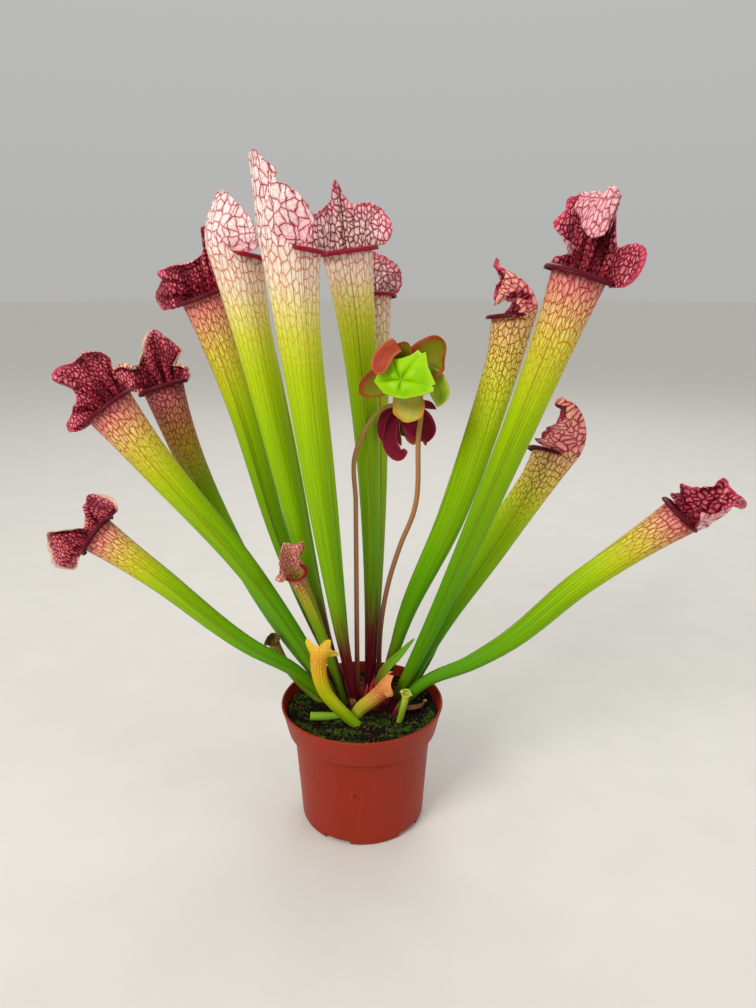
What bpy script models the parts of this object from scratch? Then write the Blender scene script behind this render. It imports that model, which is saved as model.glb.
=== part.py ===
"""A trumpet pitcher plant in a plastic nursery pot.

Lengths are in millimetres until a mesh is made, and metres in Blender. The origin is the middle
of the pot's underside, +Z is up, and the plant's front is towards -Y.
"""
import math
from dataclasses import dataclass

import bmesh
import bpy
import numpy as np
from mathutils import Vector

MM = 0.001
GAP = 0.3                      # air between pieces that touch

# Pot
RIM_DIAMETER = 120.0
POT_HEIGHT = 93.0
BASE_DIAMETER = 92.0
BAND_HEIGHT = 22.0             # collar band below the rim
BAND_FOOT_DIAMETER = 110.0
BAND_STEP = 3.0                # height over which the wall steps in under the band
BODY_TOP_DIAMETER = 101.0      # just under the band
POT_WALL = 1.5
POT_EDGE = 1.0                 # rounding of its edges
POT_FACETS = 32
NOTCH_COUNT = 5
NOTCH_START = -113.0           # degrees round the base
NOTCH_WIDTH = 20.0
NOTCH_HEIGHT = 3.6
NOTCH_DEPTH = 4.5
DRAIN_DIAMETER = 7.0
DRAIN_CIRCLE = 30.0            # radius that the drain holes stand on
DRAIN_FACETS = 10
FLOOR_RADIUS = 37.0            # flat floor inside, before it ramps up to the wall
RAMP_HEIGHT = 10.0

# Peat and crown
SOIL_LEVEL = 82.0
SOIL_RINGS = (14.0, 28.0, 42.0)
SOIL_SWELL = 0.8               # height of its bumps, and then three wave lengths
SOIL_WAVES = (9.0, 11.0, 6.0)
SOIL_EASE = 0.4                # air at the flats of the pot's wall
SWELL_RADIUS = 50.0            # bumps stay inside it
CROWN_CENTRE = (2.0, 17.0, 80.0)
CROWN_SIZE = (27.0, 29.0, 8.0)  # half lengths
CROWN_FACETS = (16, 6)         # round and up

# Tubes
EVEN_WIDENING = 0.65           # share of the widening that is spread along the tube
EARLY_POWER = 0.7
LATE_POWER = 6                 # the rest opens close to the mouth
CROWDING = 0.11                # how far the tube's rows crowd to its ends
WING_START = 0.16              # share of the tube below which it has no ridge
WING_SPAN = 0.75
WING_TURN = 0.2                # half of the ridge's width, in radians
RIM_SLOPE_POWER = 8            # the slope of the rim dies out quickly below it

# Hoods and lips
HOOD_REACH = math.radians(72)  # half of the tube's turn that goes on into the hood
NECK_HEIGHT = 0.38             # of the hood, against the mouth's radius
NECK_RISE = 0.3                # share of the hood's rows that lie below the neck
EAR_BRANCHING = (1.8, 1.0)     # powers with which ears leave the neck: sideways, upward
EAR_TURN = -0.6                # sine of the ears' steepest turn back
LEAN_STEPS = 40
LIP_TURN = 200.0               # degrees of the lip's roll at the front
LIP_FADE = math.radians(25)    # stretch over which the roll dies out towards the hood
LIP_END = 0.5                  # size of the roll at its ends, against the front

# Sockets for the feet
SOCKET_FACETS = 8
SOCKET_EASE = 0.65             # wider than the foot, so that its flats stay clear too
SOCKET_SINK = 0.5
STEM_SOCKET = 0.1              # shares of a stem and of a flat leaf that are sunk
BLADE_SOCKET = 0.45

# Stalks, flowers and flat leaves
STALK_FACETS = 8
STALK_FACES = (0.3, -1, 0.2)   # any way that no stalk runs
LOBE_COLUMNS = 6
LOBE_RINGS = 3
LOBE_TILT = 0.12               # how far single lobes leave the common plane
CLOSED_RADIUS = 0.6
BLADE_GRID = (7, 5)
BLADE_ENDS = (0.16, 0.96)      # stretch of a sine wave that gives its outline
BLADE_OUTLINE_POWER = 0.7
BLADE_KEEL = 0.35              # depth against half the width

# On the peat
BARK_PLACE = (39.0, 3.0)
BARK_LENGTH = 14.0
BARK_WIDTH = 7.0
BARK_CURL = 1.6
BARK_TWIST = 0.7
BARK_SLANT = 2.0
BARK_GRID = (5, 4)
LYING_HEIGHT = 1.2             # over the highest peat
GRAIN_PLACE = (48.0, 12.0)
GRAIN_RADIUS = 1.6


@dataclass
class Detail:
    """How finely a trumpet leaf is divided, and how thick its wall is."""

    tube_rows: int
    hood_rows: int
    hood_columns: int
    lip_columns: int           # on each side
    wall: float


BIG = Detail(6, 4, 12, 3, 0.8)
SMALL = Detail(4, 3, 6, 2, 0.6)


@dataclass
class Trumpet:
    """One trumpet leaf: its route from foot to mouth, and the form of its mouth and hood."""

    name: str
    route: list                # foot, bends, middle of the mouth
    faces: tuple               # the way that the mouth opens
    mouth: float               # width of the mouth
    edge: list                 # flattened hood's edge: (across, height), ear foot to ear foot
    neck: float = 1.0          # the neck's width against the mouth's
    bend: float = 25.0         # degrees that the hood leans over the mouth
    late: float = 1.3          # power of that lean: a high one folds the top only
    cup: float = 0.35          # tube curve that is left at the top of the hood
    flare: float = 1.6         # how sharply the ears turn outward beyond the mouth
    ruffle: float = 1.6
    waves: float = 3.0
    foot: float = 6.0
    wing: float = 2.5          # height of the ridge along the front
    drop: float = 5.0          # how far the front lip lies below the back
    lip: float = 1.7           # radius of the lip's roll
    lip_turn: float = LIP_TURN
    colour: tuple = (0.30, 0.52, 0.06)

    @property
    def hood(self):
        """Height of the hood."""
        return max(height for _, height in self.edge)

    @property
    def ear(self):
        """Distance of the outermost ear from the midrib."""
        return max(abs(across) for across, _ in self.edge)


def round_hood(half, height, foot=0.08):
    """Edge of an even, heart-shaped hood. Its ears start at a share of its height."""
    side = [(0.88, foot), (1.0, 0.34), (0.84, 0.62), (0.42, 0.86)]
    right = [(-across, rise) for across, rise in side[::-1]]
    return [(across * half, rise * height) for across, rise in side + [(0, 1)] + right]


PALE = (0.78, 0.62, 0.50)
CRIMSON = (0.42, 0.05, 0.10)
GREEN = (0.30, 0.52, 0.06)

BIG_TRUMPETS = [
    Trumpet("pitcher_far_left",
            [(-18, 4, 77), (-48, 4, 112), (-84, 6, 133), (-153, 18, 184), (-196, 28, 212)],
            (0.25, -1, 0.35), 28,
            [(22, 2), (26, 10), (25, 20), (31, 29), (20, 33), (8, 37), (-6, 34), (-16, 30),
             (-28, 15), (-23, 3)],
            bend=-30, late=2.5, cup=0.1, flare=2.2, ruffle=2.2, waves=4, colour=CRIMSON),
    Trumpet("pitcher_left", [(-13, -2, 77), (-79, 4, 190), (-150, 12, 278), (-174, 16, 309)],
            (0.15, -1, 0.1), 35,
            [(25, 2), (31, 9), (23, 20), (23, 32), (24, 44), (8, 42), (-7, 43), (-13, 33),
             (-20, 27), (-27, 14), (-24, 3)],
            bend=15, cup=0.1, flare=2.0, ruffle=3.0, waves=5, colour=CRIMSON),
    Trumpet("pitcher_left_rear",
            [(-19, 25, 77), (-64, 35, 135), (-94, 44, 187), (-135, 62, 270), (-152, 74, 315)],
            (0.1, -1, 0.0), 31,
            [(23, 2), (27, 11), (20, 24), (11, 34), (-3, 44), (-12, 38), (-19, 26), (-14, 18),
             (-20, 11), (-18, 3)],
            bend=20, cup=0.2, flare=2.0, ruffle=2.6, waves=4, colour=CRIMSON),
    Trumpet("pitcher_rear_left", [(-10, 31, 77), (-60, 40, 198), (-91, 50, 311), (-114, 56, 382)],
            (0, -1, 0), 31,
            [(23, 2), (28, 15), (18, 29), (9, 33), (-3, 30), (-11, 31), (-17, 38), (-24, 27),
             (-28, 14), (-23, 2)],
            bend=22, cup=0.15, flare=2.0, ruffle=1.6, waves=4, colour=CRIMSON),
    Trumpet("pitcher_tall_left", [(-12, 19, 77), (-35, 19, 164), (-64, 9, 315), (-79, 0, 408)],
            (0.85, 0.5, 0), 34,
            [(21, 3), (25, 9), (25, 17), (20, 27), (10, 35), (0, 39), (-10, 36), (-20, 28),
             (-25, 16), (-21, 3)],
            bend=40, late=1.0, cup=0.8, flare=0.9, ruffle=1.0, drop=13, colour=PALE),
    Trumpet("pitcher_tallest", [(-4, 8, 77), (-28, -15, 251), (-40, -38, 411)],
            (0.85, 0.5, 0), 36,
            [(23, 3), (28, 11), (26, 22), (20, 31), (13, 36), (15, 45), (9, 53), (0, 56),
             (-10, 50), (-18, 40), (-27, 22), (-23, 3)],
            bend=17, late=1.0, cup=0.8, flare=0.9, ruffle=1.0, drop=10, colour=PALE),
    Trumpet("pitcher_centre", [(3, 23, 77), (5, 30, 254), (-9, 35, 412)],
            (0.05, -1, 0), 35,
            [(25, 2), (32, 13), (26, 27), (13, 34), (8, 47), (2, 36), (-6, 31), (-17, 32),
             (-27, 27), (-33, 13), (-26, 2)],
            bend=20, cup=0.15, flare=1.6, ruffle=1.4, waves=4, drop=3, colour=PALE),
    Trumpet("pitcher_centre_rear", [(6, 42, 77), (12, 60, 247), (7, 86, 382)],
            (0.2, -1, 0), 30,
            [(20, 3), (25, 13), (22, 27), (11, 34), (0, 39), (-10, 36), (-20, 31), (-25, 20),
             (-24, 10), (-20, 3)],
            bend=24, cup=0.2, flare=1.6, drop=3, colour=PALE),
    Trumpet("pitcher_right_rear",
            [(14, 27, 77), (32, 27, 143), (68, 27, 225), (93, 30, 308), (106, 32, 370)],
            (-1, -0.45, 0), 30, round_hood(25, 43),
            bend=80, late=1.0, cup=0.6, flare=0.9, ruffle=2.4, waves=4, drop=9, colour=CRIMSON),
    Trumpet("pitcher_right_tall",
            [(19, 4, 77), (55, -6, 165), (81, -14, 237), (114, -16, 328), (137, -14, 395)],
            (-0.45, -1, 0), 35,
            [(20, 4), (16, 11), (14, 18), (20, 30), (17, 44), (23, 64), (14, 88), (0, 76),
             (-3, 50), (-8, 34), (-24, 20), (-35, 11), (-28, -2)],
            neck=0.95, bend=180, late=2.6, cup=0.3, ruffle=1.6, waves=4, drop=3, lip=2.2,
            colour=CRIMSON),
    Trumpet("pitcher_right", [(27, 12, 77), (58, 14, 143), (98, 22, 204), (140, 34, 271)],
            (-1, 0.4, 0.3), 31,
            [(22, 3), (32, 14), (27, 25), (14, 35), (13, 45), (0, 56), (-12, 45), (-17, 31),
             (-26, 21), (-26, 10), (-22, 3)],
            bend=75, late=1.0, cup=0.6, flare=1.1, ruffle=2.6, waves=4, drop=8,
            colour=CRIMSON),
    Trumpet("pitcher_far_right",
            [(22, -5, 77), (44, -6, 108), (81, -8, 127), (103, -9, 141), (157, -12, 192),
             (217, -17, 240)],
            (-0.5, -0.35, 1), 27, round_hood(24, 44),
            bend=20, cup=0.85, flare=0.8, ruffle=2.4, waves=4, drop=8, colour=CRIMSON),
]

SMALL_TRUMPETS = [
    Trumpet("pitcher_small_red", [(-12, 8, 77), (-34, 4, 155), (-47, -3, 194)],
            (1, -0.35, 0), 15, round_hood(12, 19), bend=70, cup=0.5, ruffle=0.8, foot=4.6,
            wing=2.0, drop=3, lip=1.1, lip_turn=130, colour=(0.52, 0.22, 0.14)),
    Trumpet("pitchlet_yellow", [(0, -16, 77), (-12, -18, 90), (-27, -18, 110), (-30, -18, 138)],
            (0.1, -1, 0.3), 10, round_hood(9, 11, 0.26), neck=0.8, bend=20, cup=0.4, ruffle=0.3,
            foot=5.0, wing=0.8, drop=1, lip=0.9, lip_turn=100, colour=(0.72, 0.58, 0.08)),
    Trumpet("pitchlet_orange", [(-6, -7, 77), (-2, -8, 88), (8, -8, 97), (17, -9, 106)],
            (0.2, -1, 0.6), 10, round_hood(8, 11, 0.26), neck=0.8, bend=15, cup=0.4, ruffle=0.3,
            foot=4.6, wing=0.6, drop=1, lip=0.9, lip_turn=100, colour=(0.80, 0.36, 0.10)),
    Trumpet("pitchlet_green", [(26, -14, 77), (30, -15, 93), (32, -15, 104)],
            (-0.3, -1, 0.4), 5.6, round_hood(4.8, 7, 0.28), neck=0.8, bend=30, cup=0.5,
            ruffle=0.2, foot=4.0, wing=0.5, drop=0.5, lip=0.8, lip_turn=100, colour=(0.62, 0.62, 0.14)),
    Trumpet("pitchlet_brown_lid", [(-26, 14, 77), (-50, 20, 97), (-68, 22, 128)],
            (0.6, -1, 0.3), 9, round_hood(7.6, 10, 0.26), neck=0.8, bend=60, cup=0.5,
            ruffle=0.3, foot=4.4, wing=0.8, drop=1, lip=0.9, lip_turn=100, colour=(0.36, 0.30, 0.10)),
]


@dataclass
class Stalk:
    """A solid round stalk: its route and its radius at shares of its length."""

    name: str
    route: list
    radii: list                # (share of the length, radius)
    colour: tuple
    rings: int = 12


STALKS = [
    Stalk("flower_front_stem",
          [(14, 36, 77), (19, 31, 170), (28, 26, 204), (38, 21, 233), (40, 12, 290), (41, 8, 311),
           (38, 3, 322), (33, -4, 327), (27, -12, 331)],
          [(0, 2.0), (0.90, 1.8), (0.945, 1.8), (0.96, 4.4), (0.972, 4.2), (0.985, 1.4), (1, 1.4)],
          (0.42, 0.20, 0.13)),
    Stalk("flower_rear_stem",
          [(-4, 15, 77), (-4, 12, 242), (-4, 13, 277), (1, 14, 290), (8, 17, 301), (16, 21, 308),
           (24, 26, 309), (29, 29, 305), (31, 30, 298), (31, 31, 288)],
          [(0, 1.9), (0.90, 1.6), (0.955, 1.6), (0.968, 3.1), (0.985, 3.0), (1, 1.2)],
          (0.42, 0.20, 0.13), rings=16),
    Stalk("leaf_stub", [(-14, -11, 85.1), (-26, -12, 85.1), (-38, -13, 85.7)],
          [(0, 1.9), (0.1, 2.6), (1, 3.0)], (0.22, 0.50, 0.06), rings=5),
]


@dataclass
class Rosette:
    """A thin lobed disc: sepals, petals or a style's umbrella, grown in one piece."""

    name: str
    stalk: str                 # what it grows on, and at which share of its length
    share: float
    inner: float
    outer: float
    lobes: int
    notch: float               # share of the radius that is cut between the lobes
    sharpness: float           # power of the lobes' outline
    sweep: float               # how far the rim lies along the axis
    start: float = 0.0         # degrees of the first lobe
    uneven: float = 0.12
    seed: int = 1
    colour: tuple = GREEN


ROSETTES = [
    Rosette("flower_front_umbrella", "flower_front_stem", 1.0, 0.0, 19.5, 5, 0.30, 0.8, -5.0,
            start=20, uneven=0.06, seed=3, colour=(0.42, 0.68, 0.04)),
    Rosette("flower_front_sepals", "flower_front_stem", 0.935, 2.4, 29.0, 5, 0.62, 0.6, -3.0,
            start=50, seed=4, colour=(0.38, 0.28, 0.06)),
    Rosette("flower_rear_petals", "flower_rear_stem", 0.95, 2.2, 13.5, 5, 0.55, 0.6, 22.0,
            start=15, seed=6, colour=(0.30, 0.02, 0.05)),
]


@dataclass
class Blade:
    """A flat leaf without a trumpet."""

    name: str
    route: list
    faces: tuple
    width: float
    colour: tuple = GREEN


BLADES = [
    Blade("leaf_blade_upright", [(11, 17, 77), (15, 17, 104), (29, 16, 122), (39, 16, 134)],
          (-0.5, -1, 0.3), 7.0),
    Blade("leaf_blade_broad", [(31, 20, 77), (40, 20, 98), (49, 20, 113), (57, 20, 126)],
          (-0.6, -1, 0.5), 8.0),
]

part_collection = bpy.data.collections.new("potted_trumpet_pitcher")
cutter_collection = bpy.data.collections.new("cutters")


def unit(vectors):
    """Vectors at length one."""
    return vectors / np.linalg.norm(vectors, axis=-1, keepdims=True)


def through(knots, points, at):
    """A smooth curve through points that lie at the given knots."""
    knots, points, at = (np.asarray(values, float) for values in (knots, points, at))
    slopes = np.gradient(points, knots, axis=0, edge_order=min(2, len(knots) - 1))
    span = np.clip(np.searchsorted(knots, at, side="right") - 1, 0, len(knots) - 2)
    length = (knots[span + 1] - knots[span])[..., None]
    s = (at[..., None] - knots[span][..., None]) / length
    start, end = points[span], points[span + 1]
    return ((1 + 2 * s) * (1 - s) ** 2 * start + s * (1 - s) ** 2 * length * slopes[span]
            + s * s * (3 - 2 * s) * end + s * s * (s - 1) * length * slopes[span + 1])


def along(route, share):
    """Places on a route at shares of its length."""
    route = np.asarray(route, float)
    spans = np.linalg.norm(np.diff(route, axis=0), axis=1)
    return through(np.concatenate(([0], np.cumsum(spans))) / spans.sum(), route, share)


def frames(route, faces, share):
    """Centre, upward, front and side directions of a stalk or tube at shares of its length."""
    step = 0.01
    centre = along(route, share)
    up = unit(along(route, np.minimum(share + step, 1)) - along(route, np.maximum(share - step, 0)))
    faces = np.asarray(faces, float)
    front = unit(faces - (up @ faces)[:, None] * up)
    return centre, up, front, np.cross(front, up)


def tube_radius(leaf, share):
    """Half the tube's width: an even widening, and a late flare at the mouth."""
    widening = EVEN_WIDENING * share ** EARLY_POWER + (1 - EVEN_WIDENING) * share ** LATE_POWER
    return (leaf.foot + (leaf.mouth - leaf.foot) * widening) / 2


def tube_shares(rows):
    """Where the rows of a tube lie, closer together at the foot and the mouth."""
    even = np.linspace(0, 1, rows + 1)
    return even - CROWDING * np.sin(2 * np.pi * even)


def tube_places(leaf, turn, rows):
    """The tube from its foot to its rim, one row of points after another."""
    share = tube_shares(rows)
    centre, up, front, side = (values[:, None] for values in frames(leaf.route, leaf.faces, share))
    radius = tube_radius(leaf, share)[:, None, None]
    ridge = leaf.wing * np.sin(np.pi * np.clip((share - WING_START) / WING_SPAN, 0, 1))
    at_seam = np.exp(-((np.pi - np.abs(turn)) / WING_TURN) ** 2)
    forward = -np.cos(turn)[None, :, None]
    slope = (share ** RIM_SLOPE_POWER)[:, None, None]
    lift = leaf.drop / 2 * np.cos(turn)[None, :, None] * slope
    return (centre + (radius * forward + (ridge[:, None] * at_seam)[..., None]) * front
            + radius * np.sin(turn)[None, :, None] * side + lift * up)


def hood_outline(leaf, across):
    """Points of the flattened hood's edge, for places from -1 at one ear's foot to 1."""
    return through(np.linspace(1, -1, len(leaf.edge))[::-1], leaf.edge[::-1], across)


def hood_profile(leaf, sideways, level):
    """How far the hood stands forward of its midrib.

    The tube's curve goes on up to the lip's ends. Beyond them the ears turn outward.
    """
    radius = leaf.mouth / 2
    curve = 1 + (leaf.cup - 1) * level
    sine = np.sin(curve * HOOD_REACH)
    aside = np.abs(sideways)
    within = np.minimum(aside, radius * sine / curve)
    beyond = (aside - within) * leaf.flare / radius
    turned = np.maximum(sine - beyond, EAR_TURN)
    straight = np.maximum(EAR_TURN - sine + beyond, 0) * EAR_TURN / math.sqrt(1 - EAR_TURN ** 2)
    inner = (1 - np.sqrt(1 - (curve * within / radius) ** 2)) / curve
    return radius * (inner + (np.sqrt(1 - turned ** 2) - np.cos(curve * HOOD_REACH) + straight)
                     / leaf.flare)


def hood_places(leaf, across, rise):
    """The hood: a patch between the back of the rim and the edge, bent forward and ruffled."""
    radius = leaf.mouth / 2
    across, rise = np.meshgrid(across, rise)
    root = np.stack([radius * np.sin(HOOD_REACH * across), np.zeros_like(across)], -1)
    neck = root * leaf.neck + np.array((0, NECK_HEIGHT * radius))
    low = np.clip(rise / NECK_RISE, 0, 1)[..., None]
    high = np.clip((rise - NECK_RISE) / (1 - NECK_RISE), 0, 1)[..., None] ** EAR_BRANCHING
    flat = root + (neck - root) * low + (hood_outline(leaf, across) - neck) * high

    sideways, height = flat[..., 0], flat[..., 1]
    level = np.clip(height / leaf.hood, 0, 1)
    steps = np.linspace(0, 1, LEAN_STEPS + 1)
    lean = np.radians(leaf.bend) * steps ** leaf.late
    climb = np.concatenate(([0], np.cumsum(np.cos(lean[1:])))) * leaf.hood / LEAN_STEPS
    reach = np.concatenate(([0], np.cumsum(np.sin(lean[1:])))) * leaf.hood / LEAN_STEPS
    here = np.interp(level, steps, lean)
    inward = hood_profile(leaf, sideways, level)
    inward = inward + leaf.ruffle * rise ** 2 * np.sin(leaf.waves * np.pi * across)
    centre, up, front, side = (values[0] for values in frames(leaf.route, leaf.faces, np.ones(1)))
    lift = leaf.drop / 2 * np.cos(HOOD_REACH * across) * (1 - rise)
    upward = np.interp(level, steps, climb) - inward * np.sin(here) + lift
    forward = np.interp(level, steps, reach) + inward * np.cos(here) - radius
    return (centre + upward[..., None] * up + forward[..., None] * front
            + sideways[..., None] * side)


def lip_places(leaf, turn, rise):
    """The rolled lip round the front of the mouth."""
    turn, rise = np.meshgrid(turn, rise)
    fade = np.clip((np.abs(turn) - HOOD_REACH) / LIP_FADE, 0, 1)
    roll = leaf.lip * (LIP_END + (1 - LIP_END) * fade)
    rolled_by = np.radians(leaf.lip_turn) * rise
    centre, up, front, side = (values[0] for values in frames(leaf.route, leaf.faces, np.ones(1)))
    outward = -np.cos(turn)[..., None] * front + np.sin(turn)[..., None] * side
    out = leaf.mouth / 2 + roll * (1 - np.cos(rolled_by))
    lift = leaf.drop / 2 * np.cos(turn) + roll * np.sin(rolled_by)
    return centre + out[..., None] * outward + lift[..., None] * up


def trumpet_places(leaf, detail):
    """All points of a trumpet leaf, as rows from the foot upward, seam to seam.

    The lip and the hood part at the two ends of the lip, so each end has two columns.
    """
    left = np.linspace(-np.pi, -HOOD_REACH, detail.lip_columns + 1)
    across = np.linspace(-1, 1, detail.hood_columns + 1)
    turn = np.concatenate((left, across * HOOD_REACH, -left[::-1]))
    rise = np.linspace(0, 1, detail.hood_rows + 1)[1:]
    crown = np.concatenate((lip_places(leaf, left, rise), hood_places(leaf, across, rise),
                            lip_places(leaf, -left[::-1], rise)), axis=1)
    return np.concatenate((tube_places(leaf, turn, detail.tube_rows), crown))


def material(name, colour, roughness=0.5):
    """A plain surface of one colour."""
    made = bpy.data.materials.new(name)
    made.use_nodes = True
    shader = made.node_tree.nodes["Principled BSDF"]
    shader.inputs["Base Color"].default_value = (*colour, 1)
    shader.inputs["Roughness"].default_value = roughness
    shader.inputs["Metallic"].default_value = 0.0
    return made


def add_object(name, bm, colour, roughness=0.5, collection=part_collection):
    """Turn a bmesh into an object with its own material, shaded smooth."""
    mesh = bpy.data.meshes.new(name)
    bm.to_mesh(mesh)
    bm.free()
    mesh.shade_smooth()
    mesh.set_sharp_from_angle(angle=math.radians(40))
    mesh.materials.append(material(name, colour, roughness))
    made = bpy.data.objects.new(name, mesh)
    collection.objects.link(made)
    return made


def sheet(places):
    """A grid of faces on rows of points."""
    rows, columns = places.shape[:2]
    bm = bmesh.new()
    bmesh.ops.create_grid(bm, x_segments=columns - 1, y_segments=rows - 1, size=1)
    for vert, place in zip(bm.verts, places.reshape(-1, 3)):
        vert.co = Vector(place) * MM
    bm.verts.index_update()
    return bm


def close_ring(bm, ring):
    """Fill the open ring that is left of a row of points after its seam is welded."""
    ring = {vert for vert in ring if vert.is_valid}
    edges = [edge for edge in bm.edges if edge.is_boundary and set(edge.verts) <= ring]
    bmesh.ops.contextual_create(bm, geom=edges)


def rolled(places, close_start=False, close_end=False, open_strips=()):
    """A sheet whose two side edges meet, with its ends closed and strips left out where asked."""
    columns = places.shape[1]
    bm = sheet(places)
    start, end = list(bm.verts)[:columns], list(bm.verts)[-columns:]
    left_out = [face for face in bm.faces
                if min(vert.index % columns for vert in face.verts) in open_strips]
    bmesh.ops.delete(bm, geom=left_out, context="FACES")
    bmesh.ops.remove_doubles(bm, verts=bm.verts, dist=1e-7)
    if close_start:
        close_ring(bm, start)
    if close_end:
        close_ring(bm, end)
    bmesh.ops.recalc_face_normals(bm, faces=bm.faces)
    bmesh.ops.triangulate(bm, faces=bm.faces)
    return bm


def face_away(bm, place):
    """Turn the sheet so that the face nearest to a place looks away from it."""
    place = Vector(place) * MM
    bm.faces.ensure_lookup_table()
    nearest = min(bm.faces, key=lambda face: (face.calc_center_median() - place).length)
    if nearest.normal.dot(nearest.calc_center_median() - place) < 0:
        bmesh.ops.reverse_faces(bm, faces=bm.faces)


def thicken(made, wall=BIG.wall, side=-1.0):
    """Give a sheet its thickness, below its outer face."""
    solid = made.modifiers.new("wall", "SOLIDIFY")
    solid.thickness = wall * MM
    solid.offset = side
    return made


def trumpet(leaf, detail):
    """One trumpet leaf as a thin hollow solid, closed at its foot."""
    lip = detail.lip_columns
    gaps = (lip, lip + detail.hood_columns + 1)
    bm = rolled(trumpet_places(leaf, detail), close_start=True, open_strips=gaps)
    face_away(bm, along(leaf.route, np.array([0.5]))[0])
    return thicken(add_object(leaf.name, bm, leaf.colour, 0.4), detail.wall)


def round_places(route, radii, share, facets):
    """Rings of points round a route."""
    centre, _, front, side = (values[:, None] for values in frames(route, STALK_FACES, share))
    radius = np.interp(share, *np.transpose(radii))[:, None, None]
    turn = np.linspace(-np.pi, np.pi, facets + 1)[None, :, None]
    return centre - radius * np.cos(turn) * front + radius * np.sin(turn) * side


def stalk(piece):
    """A solid stalk with closed ends. Its rings crowd where its radius changes."""
    knots = np.array([share for share, _ in piece.radii])
    share = np.unique(np.concatenate((np.linspace(0, 1, piece.rings), knots)).round(4))
    bm = rolled(round_places(piece.route, piece.radii, share, STALK_FACETS), True, True)
    return add_object(piece.name, bm, piece.colour, 0.5)


def rosette(piece):
    """A lobed disc with thickness. Its rim sweeps along the axis."""
    rng = np.random.default_rng(piece.seed)
    stalk_piece = next(item for item in STALKS if item.name == piece.stalk)
    share = np.array([piece.share])
    centre, axis = (values[0] for values in frames(stalk_piece.route, STALK_FACES, share)[:2])
    if piece.share == 1:
        centre = centre + axis * (GAP + BIG.wall)
    right = unit(np.cross(axis, (0, 0, 1)))
    above = np.cross(right, axis)
    turn = np.linspace(0, 2 * np.pi, piece.lobes * LOBE_COLUMNS + 1)
    size = 1 + piece.uneven * rng.uniform(-1, 1, piece.lobes)
    tilt = LOBE_TILT * piece.outer * rng.uniform(-1, 1, piece.lobes)
    lobe = (turn / (2 * np.pi) * piece.lobes).astype(int) % piece.lobes
    swell = np.abs(np.sin(turn * piece.lobes / 2)) ** piece.sharpness
    reach = piece.outer * (1 - piece.notch + piece.notch * swell)
    reach = reach * (1 + (size[lobe] - 1) * swell)
    inner = max(piece.inner, CLOSED_RADIUS)
    rise = np.linspace(0, 1, LOBE_RINGS + 1)[:, None]
    radius = inner + (reach - inner)[None, :] * rise
    out = (radius - inner) / (piece.outer - inner)
    depth = piece.sweep * out ** 2 + (tilt[lobe] * swell)[None, :] * rise ** 2
    turn = turn[None, :] + math.radians(piece.start)
    places = (centre + (radius * np.cos(turn))[..., None] * right
              + (radius * np.sin(turn))[..., None] * above + depth[..., None] * axis)
    bm = rolled(places, close_start=piece.inner == 0)
    return thicken(add_object(piece.name, bm, piece.colour, 0.5), side=0.0)


def blade(piece):
    """A narrow flat leaf with a shallow keel, closed all round."""
    rows, columns = BLADE_GRID
    share = np.linspace(0, 1, rows)
    centre, _, front, side = (values[:, None] for values in frames(piece.route, piece.faces, share))
    outline = np.sin(np.pi * np.linspace(*BLADE_ENDS, rows)) ** BLADE_OUTLINE_POWER
    half = (piece.width / 2 * outline)[:, None, None]
    across = np.linspace(-1, 1, columns)[None, :, None]
    bm = sheet(centre + half * across * side - BLADE_KEEL * half * (1 - across ** 2) * front)
    bmesh.ops.triangulate(bm, faces=bm.faces)
    return thicken(add_object(piece.name, bm, piece.colour, 0.4), side=0.0)


def turned(name, profile, facets, colour, roughness, collection=part_collection):
    """A solid of revolution from (radius, height) points that end on the axis."""
    bm = bmesh.new()
    verts = [bm.verts.new((radius * MM, 0, height * MM)) for radius, height in profile]
    for first, second in zip(verts, verts[1:]):
        bm.edges.new((first, second))
    made = add_object(name, bm, colour, roughness, collection)
    screw = made.modifiers.new("turn", "SCREW")
    screw.steps = screw.render_steps = facets
    screw.use_merge_vertices = True
    screw.merge_threshold = 1e-5
    return made


def cut(made, cutters):
    """Subtract every cutter in a collection, with the solver that closes these thin shapes."""
    boolean = made.modifiers.new("cut", "BOOLEAN")
    boolean.solver = "MANIFOLD"
    boolean.operation = "DIFFERENCE"
    boolean.operand_type = "COLLECTION"
    boolean.collection = cutters


def cutter_group(name):
    """A collection of hidden cutting shapes."""
    group = bpy.data.collections.new(name)
    cutter_collection.children.link(group)
    return group


def hide_cutters(group):
    """Keep cutting shapes out of the build and show them as wires."""
    for item in group.objects:
        item.hide_render = True
        item.display_type = "WIRE"


def pot_outside():
    """Outer wall from the rim down to the base, as (radius, height) points."""
    rim, band, body, base = (width / 2 for width in (RIM_DIAMETER, BAND_FOOT_DIAMETER,
                                                     BODY_TOP_DIAMETER, BASE_DIAMETER))
    shoulder = POT_HEIGHT - BAND_HEIGHT
    return [(rim - POT_EDGE / 2, POT_HEIGHT), (rim, POT_HEIGHT - POT_EDGE),
            (band, shoulder + POT_EDGE), (band - POT_EDGE, shoulder), (body, shoulder - POT_EDGE),
            (base, 2 * POT_EDGE), (base - 2 * POT_EDGE, 0.0)]


def inner_radius(height):
    """Radius of the pot's inner wall at a height."""
    outside = sorted((z, r) for r, z in pot_outside())
    return np.interp(height, [z for z, _ in outside], [r for _, r in outside]) - POT_WALL


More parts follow.
